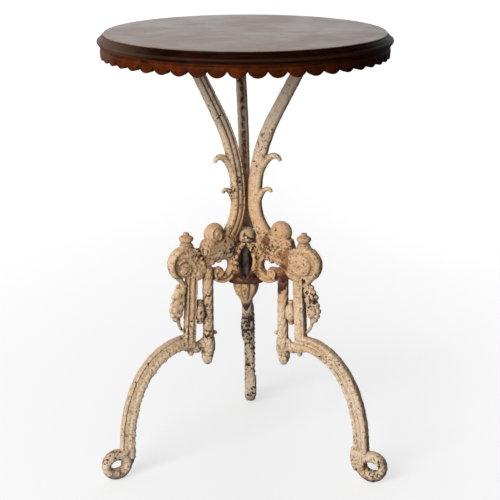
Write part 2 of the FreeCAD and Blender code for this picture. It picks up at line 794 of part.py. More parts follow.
def spray_solid(leg):
    """Leaf lobes on a stem from the eye scroll to the knee, laid against the fluted post."""
    thickness = mm("spray_thickness")
    stem, twig, tail = [thickness * share for share in spray_thickness_shares]
    places = spray_lobe_shares + (spray_tip_shares, spray_foot_shares)
    upper, lower, tip, end = [spot(mm("leg_reach") * out, mm("stand_height") * up) for out, up in places]
    head = spot(upper.x, eye_height - size("eye_radius") * spray_head_share)
    width = mm("spray_stem_width")
    solids = [
        domed_disc(upper, mm("spray_lobe_radius"), thickness, volute_dome_shares),
        domed_disc(lower, mm("spray_lobe_radius"), thickness, volute_dome_shares),
        domed_disc(tip, mm("spray_tip_radius"), twig, volute_dome_shares),
        bar(head, upper, width, stem),
        bar(lower, tip, width, twig),
        bar(tip, end, width, tail),
    ]
    return united(solids).cut(leg)


def build_finial(name, azimuth):
    stud = size("stud_radius")
    seat = size("stud_length")
    collar = size("finial_collar_radius")
    collar_top = seat + size("finial_collar_height")
    bun = scaled(finial_shares, size("finial_radius"), size("finial_height"), seat)
    shank = [(zero, zero), (stud, zero), (stud, seat), (collar, seat), (collar, collar_top)]
    body, turn = turned(f"{name}_body", shank + bun + [(zero, seat + size("finial_height"))])
    place(body, azimuth, finial_reach, size("stand_height") - size("stud_length"))
    return keep(body, name)


def build_acorn(name, azimuth):
    stud = size("stud_radius")
    top = size("acorn_length")
    end = top + size("stud_length")
    drop = scaled(acorn_shares, size("acorn_radius"), top)
    body, turn = turned(f"{name}_body", [(zero, zero)] + drop + [(stud, top), (stud, end), (zero, end)])
    place(body, azimuth, acorn_reach, boss_foot - top)
    return keep(body, name)


# Hub hardware on the table's axis

def build_tie_rod():
    rod = doc.addObject("Part::Cylinder", "tie_rod")
    bind(rod, "Radius", size("rod_radius"))
    bind(rod, "Height", seat_height - collar_foot + size("rod_bite") * 2)
    bind(rod, "Placement.Base.z", collar_foot - size("rod_bite"))
    return keep(rod, "tie_rod")


def build_cap_nut():
    radius = size("cap_nut_radius")
    top = size("cap_nut_height")
    wall = size("cap_nut_wall_height")
    rise = top - wall
    dome = (radius * radius + rise * rise) / (rise * 2)
    blind = size("rod_bite") + size("joint_gap")
    outline = [(rod_bore, zero), (radius, zero), (radius, wall, dome), (zero, top), (zero, blind),
               (rod_bore, blind)]
    body, turn = turned("cap_nut_body", outline)
    place(body, 0, zero, seat_height)
    return keep(body, "cap_nut")


def build_collar():
    flare = scaled(collar_shares, size("collar_radius"), size("collar_height"))
    body, turn = turned("hub_collar_body", [(rod_bore, zero)] + flare + [(rod_bore, size("collar_height"))])
    place(body, 0, zero, collar_foot)
    return keep(body, "hub_collar")


def build_pendant():
    """A fluted cup on a pointed tip, bored for the tie rod."""
    radius = size("pendant_radius")
    tip = size("pendant_tip_height")
    top = tip + size("pendant_cup_height")
    blind = top - size("rod_bite") - size("joint_gap")
    outline = scaled(pendant_tip_shares, size("pendant_neck_radius"), tip)
    outline += scaled(pendant_cup_shares, radius, size("pendant_cup_height"), tip)
    bore = [(rod_bore, top), (rod_bore, blind), (zero, blind)]
    body, turn = turned("pendant_body", [(zero, zero)] + outline + bore)
    doc.recompute()
    flute = body.newObject("PartDesign::SubtractiveCylinder", "pendant_flute")
    bind(flute, "Radius", size("flute_radius"))
    start = spot(size("pendant_neck_radius") + size("flute_radius") * flute_foot_share, tip)
    end = spot(radius, top)
    flute.Height = (end - start).Length * 2
    flute.Placement = FreeCAD.Placement(start, FreeCAD.Rotation(upright, end - start))
    doc.recompute()
    polar(body, flute, int(mm("pendant_flutes")), 360)
    place(body, 0, zero, collar_foot - top)
    return keep(body, "pendant")


# Wooden pieces and what fastens them

def build_top_board():
    radius = size("top_radius")
    top = size("top_thickness")
    bead = size("rim_bead_radius")
    root = radius - bead * bead_arc_shares[0]
    fillet = size("rim_fillet")
    flat = radius - size("top_lip")
    lip = top - size("top_lip_drop")
    body, turn = turned("top_board_body", [
        (zero, zero),
        (root, zero),
        (root, fillet, bead),
        (root, fillet + bead * bead_arc_shares[1]),
        (flat + size("top_lip_drop") / 2, lip),
        (flat, top),
        (zero, top),
    ])
    doc.recompute()
    sketch = attached_sketch(body, "pilot_outline", "XY_Plane")
    lead = math.radians(mm("arm_lead"))
    bore = size("screw_radius") + size("joint_gap")
    for reach in screw_reaches:
        centre = FreeCAD.Vector(reach.value * math.cos(lead), reach.value * math.sin(lead))
        hole = sketch.addGeometry(Part.Circle(centre, upright, bore.value))
        constrain(sketch, "DistanceX", hole, 3, reach * math.cos(lead))
        constrain(sketch, "DistanceY", hole, 3, reach * math.sin(lead))
        constrain(sketch, "Radius", hole, None, bore)
    pilots = body.newObject("PartDesign::Pocket", "pilots")
    pilots.Profile = sketch
    pilots.Reversed = True
    bind(pilots, "Length", size("screw_bite") + size("joint_gap"))
    doc.recompute()
    polar(body, pilots, len(azimuths), 360)
    place(body, azimuths["back"], zero, board_foot)
    return keep(body, "top_board")


def build_apron_segment(index):
    """A curved strip with a cusp cut at each joint between two scallops."""
    outer = apron_radius
    inner = outer - size("apron_thickness")
    top = size("apron_depth")
    span = 360 / mm("apron_segments")
    scallops = int(mm("segment_scallops"))
    joint = math.degrees(mm("joint_gap") / apron_radius.value)
    body, turn = turned(f"apron_body_{index}", [(inner, zero), (outer, zero), (outer, top), (inner, top)])
    turn.Angle = span - joint
    doc.recompute()
    half = outer * math.sin(math.radians(span / scallops / 2))
    depth = size("scallop_depth")
    lobe = (half * half + depth * depth) / (depth * 2)
    low = zero - size("overrun")
    cusp = outline_sketch(body, f"cusp_outline_{index}", "YZ_Plane", [
        (zero - half, zero, lobe), (zero, depth, lobe), (half, zero), (half, low), (zero - half, low)])
    cut = body.newObject("PartDesign::Pocket", f"cusp_{index}")
    cut.Profile = cusp
    cut.Reversed = True
    bind(cut, "Length", outer + size("overrun"))
    doc.recompute()
    polar(body, cut, scallops + 1, span)
    place(body, span * index + mm("apron_turn"), zero, board_foot - top)
    return keep(body, f"apron_segment_{index + 1}")


def build_glue_blocks():
    blocks = []
    count = int(mm("apron_segments")) * 2
    inner = apron_radius - size("apron_thickness")
    half = size("glue_block_length") / 2
    face = (inner * inner - half * half).root() - size("joint_gap")
    for index in range(count):
        block = doc.addObject("Part::Box", f"glue_block_{index}")
        bind(block, "Length", size("glue_block_width"))
        bind(block, "Width", size("glue_block_length"))
        bind(block, "Height", size("glue_block_height"))
        place(block, 360 * (index + 1 / 2) / count + mm("apron_turn"), face - size("glue_block_width"),
              board_foot - size("glue_block_height"), zero - half)
        blocks.append(block)
    return build_group("glue_blocks", blocks)


def build_group(name, items):
    group = doc.addObject("Part::Compound", name)
    group.Links = items
    return keep(group, name)


def build_screw(name, azimuth, reach):
    shank = doc.addObject("Part::Cylinder", f"{name}_shank")
    bind(shank, "Radius", size("screw_radius"))
    bind(shank, "Height", size("arm_pad_thickness") + size("screw_bite"))
    place(shank, azimuth, reach, pad_foot)
    head = doc.addObject("Part::Cone", f"{name}_head")
    bind(head, "Radius1", size("screw_radius"))
    bind(head, "Radius2", size("screw_head_radius"))
    bind(head, "Height", size("screw_head_height"))
    place(head, azimuth, reach, pad_foot - size("screw_head_height"))
    screw = doc.addObject("Part::Fuse", name)
    screw.Base = shank
    screw.Tool = head
    return screw


def build_stud(name, azimuth):
    stud = doc.addObject("Part::Cylinder", name)
    bind(stud, "Radius", size("arm_stud_radius"))
    bind(stud, "Height", size("arm_stud_length"))
    place(stud, azimuth, curl_reach, seat_height - size("arm_stud_length") / 2)
    return stud


# The whole table
leg = leg_solid()
arm = arm_solid()
rope_post = rope_post_solid()
spray = spray_solid(leg)
screws = []
studs = []
build_top_board()
for index in range(int(mm("apron_segments"))):
    build_apron_segment(index)
for side, azimuth in azimuths.items():
    keep(radial_feature(f"leg_{side}", leg, azimuth), f"leg_{side}")
    keep(radial_feature(f"arm_{side}", arm, azimuth + mm("arm_lead")), f"arm_{side}")
    keep(radial_feature(f"rope_post_{side}", rope_post, azimuth), f"rope_post_{side}")
    keep(radial_feature(f"leaf_spray_{side}", spray, azimuth), f"leaf_spray_{side}")
    build_bead(f"bead_{side}", azimuth)
    build_finial(f"finial_{side}", azimuth)
    build_acorn(f"acorn_drop_{side}", azimuth)
    studs.append(build_stud(f"arm_stud_{side}", azimuth + mm("arm_lead")))
    for count, reach in enumerate(screw_reaches):
        screws.append(build_screw(f"top_screw_{side}_{count}", azimuth + mm("arm_lead"), reach))
build_tie_rod()
build_cap_nut()
build_collar()
build_pendant()
build_group("arm_studs", studs)
build_group("top_screws", screws)
build_glue_blocks()

doc.recompute()
faults = [item.Label for item in doc.Objects if "Invalid" in item.State or "Error" in item.State]
faults += [item.Label for item in nodes if item.Shape.isNull() or not item.Shape.isValid()]
if faults:
    raise RuntimeError(f"failed pieces: {faults}")

os.makedirs("parts", exist_ok=True)
for item in nodes:
    item.Shape.exportStep(f"parts/{item.Label}.step")
    print(f"{item.Label}: {len(item.Shape.Solids)} solid(s), {item.Shape.Volume:.0f} mm3")
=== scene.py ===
import math

import bpy
import numpy as np
from mathutils import Matrix, Vector, noise


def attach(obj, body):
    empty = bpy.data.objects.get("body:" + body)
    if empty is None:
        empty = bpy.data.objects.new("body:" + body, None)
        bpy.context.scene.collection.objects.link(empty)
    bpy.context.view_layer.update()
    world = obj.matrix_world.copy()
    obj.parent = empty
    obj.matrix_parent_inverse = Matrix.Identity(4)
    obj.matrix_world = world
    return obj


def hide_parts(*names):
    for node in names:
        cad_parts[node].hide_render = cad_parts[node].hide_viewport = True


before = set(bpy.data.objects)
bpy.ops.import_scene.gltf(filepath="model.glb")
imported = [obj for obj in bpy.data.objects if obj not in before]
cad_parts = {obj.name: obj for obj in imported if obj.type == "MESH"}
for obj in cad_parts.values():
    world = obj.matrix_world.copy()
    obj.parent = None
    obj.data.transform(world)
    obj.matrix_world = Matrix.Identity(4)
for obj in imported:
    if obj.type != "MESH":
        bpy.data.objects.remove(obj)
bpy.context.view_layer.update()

mm = 0.001
crispAngle = 50  # edges sharper than this are shaded as edges
floorGap = 0.1  # castings stay this far above the floor, in millimetres
plateLevels = (-0.5, -0.32, 0.32, 0.5)  # shares of a plate's thickness at its rims
softenShare = 0.5
creviceSamples = 8
scene = bpy.context.scene
sides = {"back": 90, "left": 210, "right": 330}  # azimuths of the three legs
print("frame: %d nodes" % len(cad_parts))


# Forms are (points, faces) in millimetres, drawn at azimuth 0: x is reach, y is across, z is height

def loftForm(rings):
    rings = np.asarray(rings, float)
    count, around = rings.shape[:2]
    first = np.arange(around)
    nextOne = np.roll(first, -1)
    faces = []
    for level in range(count - 1):
        low, high = level * around, (level + 1) * around
        faces += np.column_stack([low + first, low + nextOne, high + nextOne, high + first]).tolist()
    faces.append(first[::-1].tolist())
    faces.append(((count - 1) * around + first).tolist())
    return rings.reshape(-1, 3), faces


def joinForms(forms):
    points, faces, start = [], [], 0
    for somePoints, someFaces in forms:
        points.append(somePoints)
        faces += [[corner + start for corner in face] for face in someFaces]
        start += len(somePoints)
    return np.vstack(points), faces


def smoothLine(points, steps):
    # Catmull-Rom through given points, spread evenly over its parameter
    knots = np.asarray(points, float)
    padded = np.vstack([2 * knots[0] - knots[1], knots, 2 * knots[-1] - knots[-2]])
    place = np.linspace(0, len(knots) - 1, steps)
    index = np.minimum(place.astype(int), len(knots) - 2)
    t = (place - index)[:, None]
    a, b, c, d = padded[index], padded[index + 1], padded[index + 2], padded[index + 3]
    return 0.5 * (2 * b + (c - a) * t + (2 * a - 5 * b + 4 * c - d) * t ** 2 + (3 * b - a - 3 * c + d) * t ** 3)


def polar(angle, out):
    return np.column_stack([np.cos(angle) * out, np.sin(angle) * out])


def levelled(points, level):
    return np.column_stack([points, np.full(len(points), level)])


def upright(points, depth):
    return levelled(points, depth)[:, [0, 2, 1]]


def arcLine(centre, axes, start, turn, steps):
    return polar(np.radians(np.linspace(start, start + turn, steps)), 1) * axes + centre


def coilLine(turns, reach, steps):
    return np.linspace(*turns, steps), np.linspace(*reach, steps)


def lineFrame(line):
    # unit normals to the right of travel, and the run so far
    step = np.gradient(line, axis=0)
    length = np.linalg.norm(step, axis=1)
    normal = np.column_stack([step[:, 1], -step[:, 0]]) / length[:, None]
    run = np.concatenate([[0], np.cumsum(np.linalg.norm(np.diff(line, axis=0), axis=1))])
    return normal, run


def bandForm(line, section):
    # section(share of the run) gives a closed loop of (offset along the normal, depth across)
    normal, run = lineFrame(line)
    rings = []
    for point, side, travel in zip(line, normal, run):
        loop = np.asarray(section(travel / run[-1]), float)
        rings.append(np.column_stack([point[0] + side[0] * loop[:, 0], loop[:, 1], point[1] + side[1] * loop[:, 0]]))
    return loftForm(rings)


def ovalLoop(width, depth, corners, power=2, middle=0):
    angle = np.linspace(0, 2 * math.pi, corners, endpoint=False)
    c, s = np.cos(angle), np.sin(angle)
    return np.column_stack([np.sign(c) * np.abs(c) ** (2 / power) * width / 2,
                            middle + np.sign(s) * np.abs(s) ** (2 / power) * depth / 2])


def mouldedLoop(width, thickness, nearFace, farFace):
    # each face is a list of (share of the width from the inner edge, share of half the thickness)
    near = [((along - 0.5) * width, depth * thickness / 2) for along, depth in nearFace]
    far = [((along - 0.5) * width, -depth * thickness / 2) for along, depth in farFace]
    return np.array(near + far[::-1])


def tubeForm(line, radii, depths=None, corners=20, middle=0):
    # a round or oval rope in the radial plane whose thickness follows its run
    radii = np.asarray(radii, float)
    depths = radii if depths is None else np.asarray(depths, float)
    grade = np.linspace(0, 1, len(radii))
    return bandForm(line, lambda share: ovalLoop(2 * np.interp(share, grade, radii),
                                                 2 * np.interp(share, grade, depths), corners, middle=middle))


def ropeForm(path, radii, corners=12, askew=(0.3, 0.9, 0.31)):
    # a round rope along any line in space; no rope starts along askew
    path = np.asarray(path, float)
    ahead = np.gradient(path, axis=0)
    ahead /= np.linalg.norm(ahead, axis=1)[:, None]
    side = np.cross(ahead[0], askew)
    angle = np.linspace(0, 2 * math.pi, corners, endpoint=False)
    radii = np.interp(np.linspace(0, 1, len(path)), np.linspace(0, 1, len(radii)), radii)
    rings = []
    for point, forward, radius in zip(path, ahead, radii):
        side = side - forward * np.dot(side, forward)
        side /= np.linalg.norm(side)
        up = np.cross(forward, side)
        rings.append(point + radius * (np.outer(np.cos(angle), side) + np.outer(np.sin(angle), up)))
    return loftForm(rings)


def turnedForm(profile, centre=(0, 0, 0), axis="z", around=48, swell=None):
    # profile is (radius, height) from foot to top; swell(angle, share) scales the radius
    angle = np.linspace(0, 2 * math.pi, around, endpoint=False)
    rings = []
    for level, (radius, height) in enumerate(profile):
        out = radius * (1 if swell is None else swell(angle, level / (len(profile) - 1)))
        rings.append((levelled if axis == "z" else upright)(polar(angle, out), height) + centre)
    return loftForm(rings)


def pebbleForm(centre, radii, tilt=0, around=24, pole=0.02):
    # an oval lump; tilt turns it in the radial plane
    share = np.linspace(-0.5, 0.5, around // 2 + 1) * math.pi
    points, faces = turnedForm(np.column_stack([np.maximum(np.cos(share), pole), np.sin(share)]), around=around)
    points = points * np.asarray(radii, float)
    c, s = math.cos(math.radians(tilt)), math.sin(math.radians(tilt))
    turned = np.column_stack([points[:, 0] * c - points[:, 2] * s, points[:, 1], points[:, 0] * s + points[:, 2] * c])
    return turned + np.asarray(centre, float), faces


def plateForm(outline, thickness, rim=2, middle=0):
    # a flat outline in the radial plane, with its two rims drawn in
    outline = np.asarray(outline, float)
    core = outline.mean(axis=0)
    away = outline - core
    length = np.linalg.norm(away, axis=1)[:, None]
    rings = []
    for depth, pull in zip(plateLevels, (rim, 0, 0, rim)):
        rings.append(upright(core + away * (1 - pull / length), middle + depth * thickness))
    return loftForm(rings)


def plainForms(shape):
    # what a piece lists in rows: lumps, tubes, arched tubes, turned forms and plates
    forms = [pebbleForm(*row) for row in shape.get("pebbles", ())]
    forms += [tubeForm(smoothLine(*line), *rest) for line, *rest in shape.get("tubes", ())]
    forms += [tubeForm(arcLine(*arc), *rest) for arc, *rest in shape.get("arches", ())]
    forms += [turnedForm(*row) for row in shape.get("turned", ())]
    return forms + [plateForm(*row) for row in shape.get("plates", ())]


def meshOf(name, forms):
    points, faces = joinForms(forms)
    mesh = bpy.data.meshes.new(name)
    mesh.from_pydata((points * mm).tolist(), [], faces)
    mesh.validate()
    mesh.shade_smooth()
    mesh.set_sharp_from_angle(angle=math.radians(crispAngle))
    return mesh


def turnedMesh(name, shape, swell=None):
    # an outline is rounded where the shape gives its steps
    profile = smoothLine(shape["outline"], shape["steps"]) if "steps" in shape else shape["outline"]
    return meshOf(name, [turnedForm(profile, shape["centre"], around=shape["around"], swell=swell)])


def castMesh(name, forms, shape):
    # forms run together into one skin, as in a casting, with its uneven surface
    rough = bpy.data.objects.new(name + "_rough", meshOf(name + "_rough", forms))
    scene.collection.objects.link(rough)
    skin = rough.modifiers.new("skin", "REMESH")
    skin.mode = "VOXEL"
    skin.voxel_size = shape["grain"] * mm
    skin.use_smooth_shade = True
    soft = rough.modifiers.new("soft", "SMOOTH")
    soft.factor = softenShare
    soft.iterations = shape["soften"]
    mesh = bpy.data.meshes.new_from_object(rough.evaluated_get(bpy.context.evaluated_depsgraph_get()))
    mesh.name = name
    mesh.shade_smooth()
    bpy.data.objects.remove(rough)
    roughen(mesh, shape["lumps"])
    return mesh


def roughen(mesh, lumps):
    # lumps are (size, height) in millimetres; the floor is never broken through
    count = len(mesh.vertices)
    points, normals = np.empty(count * 3), np.empty(count * 3)
    mesh.vertices.foreach_get("co", points)
    mesh.vertices.foreach_get("normal", normals)
    points, normals = points.reshape(-1, 3), normals.reshape(-1, 3)
    lift = np.zeros(count)
    for size, height in lumps:
        lift += height * np.array([noise.noise(Vector(spot)) for spot in points / (size * mm)])
    points = points + normals * lift[:, None] * mm
    points[:, 2] = np.maximum(points[:, 2], floorGap * mm)
    mesh.vertices.foreach_set("co", points.ravel())
    mesh.update()


def turnBy(degrees, axis):
    return Matrix.Rotation(math.radians(degrees), 4, axis)


def addPiece(name, mesh, azimuth, finish, slotName, *nodes):
    # each piece has its own turned copy, so its bounds stay tight
    own = mesh.copy()
    own.name = name
    own.transform(turnBy(azimuth, "Z"))
    own.materials.append(finish)
    piece = bpy.data.objects.new(name, own)
    scene.collection.objects.link(piece)
    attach(piece, "root")
    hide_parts(*nodes)


# Node helpers for the finishes and the room

class Nodes:
    def __init__(self, tree):
        self.tree = tree

    def make(self, kind, inputs, **settings):
        # an input is another node's socket or a plain value
        node = self.tree.nodes.new(kind)
        for key, value in settings.items():
            setattr(node, key, value)
        for key, value in inputs.items():
            if isinstance(value, bpy.types.NodeSocket):
                self.tree.links.new(value, node.inputs[key])
            else:
                node.inputs[key].default_value = value
        return node

    def split(self, vector):
        return self.make("ShaderNodeSeparateXYZ", {0: vector}).outputs

    def ramp(self, source, low, high, start=0, end=1):
        node = self.make("ShaderNodeMapRange", {"Value": source, "From Min": low, "From Max": high, "To Min": start,
                                                "To Max": end}, interpolation_type="SMOOTHSTEP")
        return node.outputs["Result"]

    def math(self, operation, first, second=0, third=0):
        return self.make("ShaderNodeMath", {0: first, 1: second, 2: third}, operation=operation).outputs[0]

    def times(self, first, second):
        return self.math("MULTIPLY", first, second)

    def plus(self, first, second):
        return self.math("ADD", first, second)

    def graded(self, source, factor, base):
        return self.math("MULTIPLY_ADD", source, factor, base)

    def most(self, first, *others):
        for other in others:
            first = self.math("MAXIMUM", first, other)
        return first


class Finish(Nodes):
    # values are measures over the surface, which the rows of a look pick by name
    def __init__(self, name, look):
        self.material = bpy.data.materials.new(name)
        self.material.use_nodes = True
        super().__init__(self.material.node_tree)
        self.look = look
        self.shader = self.tree.nodes["Principled BSDF"]
        surface = self.make("ShaderNodeNewGeometry", {}).outputs
        self.place = surface["Position"]
        self.values = dict(zip(("across", "depth", "height"), self.split(self.place)))
        self.values.update(zip(("right", "rearward", "upward"), self.split(surface["Normal"])))
        self.values["pointy"] = surface["Pointiness"]
        for key, row in look["grain"].items():
            self.values[key] = self.noise(*row)
        for key, reach in look.get("hollows", {}).items():
            node = self.make("ShaderNodeAmbientOcclusion", {"Distance": reach}, samples=creviceSamples)
            self.values[key] = node.outputs["AO"]

    def noise(self, scale, detail, rough, stretch=None, distort=0, place=None):
        place = place or self.place
        if stretch is not None:
            place = self.make("ShaderNodeMapping", {"Vector": place, "Scale": stretch}).outputs["Vector"]
        return self.make("ShaderNodeTexNoise", {"Vector": place, "Scale": scale, "Detail": detail, "Roughness": rough,
                                                "Distortion": distort}).outputs["Fac"]

    def near(self, centre, low, high, peak=1):
        centre = [value * mm for value in centre]
        gap = self.make("ShaderNodeVectorMath", {0: self.place, 1: centre}, operation="DISTANCE")
        return self.ramp(gap.outputs["Value"], low * mm, high * mm, peak, 0)

    def mask(self, source, *reach):
        # a value over a range, or all the spots of one name
        if reach:
            return self.ramp(self.values[source], *reach)
        return self.most(*[self.near(*spot) for spot in self.look[source]])

    def masks(self, name):
        first, *others = self.look[name] if isinstance(name, str) else name
        share = self.mask(*first)
        for row in others:
            share = self.times(share, self.mask(*row))
        return share

    def colours(self, source, name):
        # stops are (place, colour); a colour may be named
        node = self.make("ShaderNodeValToRGB", {"Fac": self.values[source]})
        stops, marks = self.look[name], node.color_ramp.elements
        while len(marks) < len(stops):
            marks.new(1)
        for mark, (where, colour) in zip(marks, stops):
            mark.position = where
            mark.color = (*self.look.get(colour, colour), 1)
        return node.outputs["Color"]

    def mix(self, share, first, second, blend="MIX"):
        return self.make("ShaderNodeMix", {"Factor": share, 6: first, 7: second}, data_type="RGBA",
                         blend_type=blend).outputs[2]

    def coat(self, colour, name):
        # coats are (colour, masks), laid over one another
        for tone, *rows in self.look[name]:
            colour = self.mix(self.masks(rows), colour, (*self.look[tone], 1))
        return colour

    def show(self, colour, height, rough=None):
        rough = rough or self.mask(*self.look["rough"])
        depth, strength = self.look["bump"]
        bump = self.make("ShaderNodeBump", {"Height": height, "Distance": depth, "Strength": strength})
        for key, socket in (("Base Color", colour), ("Roughness", rough), ("Normal", bump.outputs["Normal"])):
            self.tree.links.new(socket, self.shader.inputs[key])
        return self.material


# Rows of a look. Grain: noise scale, detail, roughness, stretch, distortion. Mask: value, from low, from high,
# to start, to end, in metres where it is a place. Spot: centre, full within, gone beyond in millimetres, peak

paintLook = {
    "cream": (0.63, 0.475, 0.32), "light": (0.76, 0.61, 0.445), "tan": (0.49, 0.335, 0.2),
    "stain": (0.38, 0.215, 0.1), "grey": (0.63, 0.535, 0.435), "dirt": (0.15, 0.083, 0.041),
    "rear": (0.17, 0.08, 0.033), "chip": (0.03, 0.015, 0.009), "primer": (0.085, 0.036, 0.016),
    "orange": (0.55, 0.285, 0.115), "speck": (0.11, 0.05, 0.022),
    "base": ((0.32, "tan"), (0.48, "cream"), (0.68, "light")), "under": ((0.44, "chip"), (0.62, "primer")),
    "tint": ((0, (1, 1, 1)), (0.36, (1, 0.985, 0.96)), (0.46, (0.93, 0.82, 0.69)), (0.56, (0.91, 0.79, 0.65)),
             (0.68, (0.97, 0.88, 0.77)), (0.85, (0.86, 0.83, 0.79))), "tintReach": 0.72,
    "rust": ((0, (0.36, 0.165, 0.06)), (0.3, (0.22, 0.07, 0.02)), (0.62, (0.105, 0.024, 0.01)),
             (1, (0.03, 0.009, 0.006))),
    "tipSpot": [((0, 0, 262), 12, 19)], "coreSpot": [((0, 10, 353), 20, 30)],
    "freshRust": [((64, -46, 366), 12, 32)], "bleed": [((0, -30, 335), 30, 65)],
    # patches lightened to the light cream: painted light
    "paintedLightSpots": [((195, -118, 115), 30, 90, 0.5), ((150, -90, 200), 0, 30, 0.5), ((-41, -24, 368), 12, 36, 0.5),
              ((-215, -130, 30), 20, 50, 0.5)],
    "stained": [((0, -20, 360), 30, 140), ((-90, -50, 270), 10, 60), ((200, -120, 20), 0, 30),
                ((-200, -120, 20), 0, 30), ((120, -70, 220), 0, 60)],
    "chipped": [((0, -20, 380), 20, 60), ((30, -30, 384), 10, 34), ((-74, -52, 372), 6, 26),
                ((-58, -46, 285), 16, 32), ((-63, -45, 234), 6, 18), ((108, -69, 304), 8, 24),
                ((-180.5, -113.5, 176), 4, 20), ((-160, -101, 195), -6, 20), ((-225, -130, 42), 10, 26),
                ((-22, -14, 470), -12, 40), ((222, -130, 26), 12, 32)],
    "rusty": [((0, -16, 322), 10, 34), ((64.5, -46, 370), -6, 26), ((64, -46, 350), -3, 23),
              ((62.5, -46, 330), 3, 21), ((60, -46, 311), 6, 19), ((30, -32, 386), -18, 30)],
    "grain": {"broad": (11, 5, 0.6), "mottle": (75, 5, 0.65), "grit": (250, 4, 0.6),
              "ragged": (95, 6, 0.7), "fine": (330, 3, 0.6), "blotch": (34, 5, 0.65),
              "patch": (16, 3, 0.6), "specks": (210, 4, 0.62), "rustGrit": (150, 6, 0.75),
              "cluster": (24, 4, 0.6), "flakes": (190, 5, 0.6, None, 0.3), "pit": (190, 4, 0.6)},
    "hollows": {"hollow": 0.022, "corner": 0.008},
    "ground": [("tan", ("mottle", 0.42, 0.72, 0, 0.6)), ("stain", ("grit", 0.5, 0.66, 0, 0.75)),
               ("light", ("fine", 0.52, 0.66, 0, 0.75)), ("grey", ("height", 0.46, 0.62, 0, 0.6))],
    # stains, stain and dirt with painted shade in hollows and corners, painted light in patches,
    # rust bled from the collar, painted highlights on edges, the peeling back with painted light and its specks,
    # painted shade on edges turned from the window and on upward faces low on the left
    "wear": [("orange", ("stained",), ("blotch", 0.4, 0.61, 0.08, 0.75)),
             # stain in the hollows and dirt in tight corners, partly painted shade
             ("stain", ("hollow", 0.45, 0.95, 1, 0), ("mottle", 0.3, 0.6, 0.25, 0.85)),
             ("dirt", ("corner", 0.3, 0.97, 0.85, 0)), ("light", ("paintedLightSpots",)),
             # after the rust bled from the collar, edges lightened by pointiness: painted highlights
             ("orange", ("bleed",), ("mottle", 0.35, 0.6, 0.3, 0.6)), ("light", ("pointy", 0.51, 0.57, 0, 0.4)),
             # the back lightened to the light cream: painted light
             ("light", ("depth", 0.02, 0.07, 0, 0.55)),
             ("rear", ("depth", 0.02, 0.07), ("ragged", 0.48, 0.6, 0, 0.6)),
             ("speck", ("specked", 0.6, 0.67, 0, 0.8)),
             # faces turned to the right darkened: painted shade
             ("dirt", ("away", 0.5, 0.95), ("mottle", 0.3, 0.6, 0.45, 0.9)),
             # upward faces darkened, most low on the left: painted shade
             ("stain", ("upward", 0.05, 0.7, 0, 0.5), ("height", 0.24, 0.32, 1, 0.2),
              ("across", 0, 0.07, 1, 0.5))],
    "patchy": ("patch", 0.44, 0.6), "speckEase": 0.055, "rightHand": ("across", 0.06, 0.16), "rightEase": 0.24,
    "dripSlopes": (0.25, -1.2), "dripDrop": 0.0795, "dripRagged": 0.025,
    "rustPlace": [("rusty",), ("drip", 0.323, 0.329)], "streakHeight": 0.56, "streakLean": 0.056,
    "streak": [("lean", -0.0085, -0.0055), ("lean", -0.0015, 0.0015, 1, 0), ("depth", 0.004, 0.014),
               ("height", 0.48, 0.54), ("height", 0.655, 0.7, 0.62, 0)],
    "rustEase": (2.6, -0.86), "rusted": ("rustValue", 0.84, 1.1), "rustDepth": ("rustValue", 0.84, 1.6),
    "freshEase": -0.32, "flakeEase": (0.06, 0.012), "edge": ("pointy", 0.53, 0.62), "edgeEase": 0.045,
    "chipEase": 0.115, "rearFlakes": [("depth", 0.02, 0.07), ("cluster", 0.42, 0.6, 0.02, 0.15)],
    "bare": [[("flaked", 0.675, 0.715)], [("tipSpot",), ("ragged", 0.25, 0.45)],
             [("height", 0, 0.05, 1, 0), ("pit", 0.54, 0.62, 0, 0.9)],
             [("height", 0, 0.014, 1, 0), ("ragged", 0.35, 0.55)]],
    # the hub's middle darkened to the undercoat: painted shade
    "core": [("coreSpot",), ("ragged", 0.2, 0.6, 0.75, 1)],
    "rough": ("mottle", 0.3, 0.7, 0.42, 0.6), "wornRough": 0.28, "skin": (("grit", 0.6), ("mottle", 0.8)),
    "wornSkin": -0.9, "bump": (0.0014, 0.95),
}


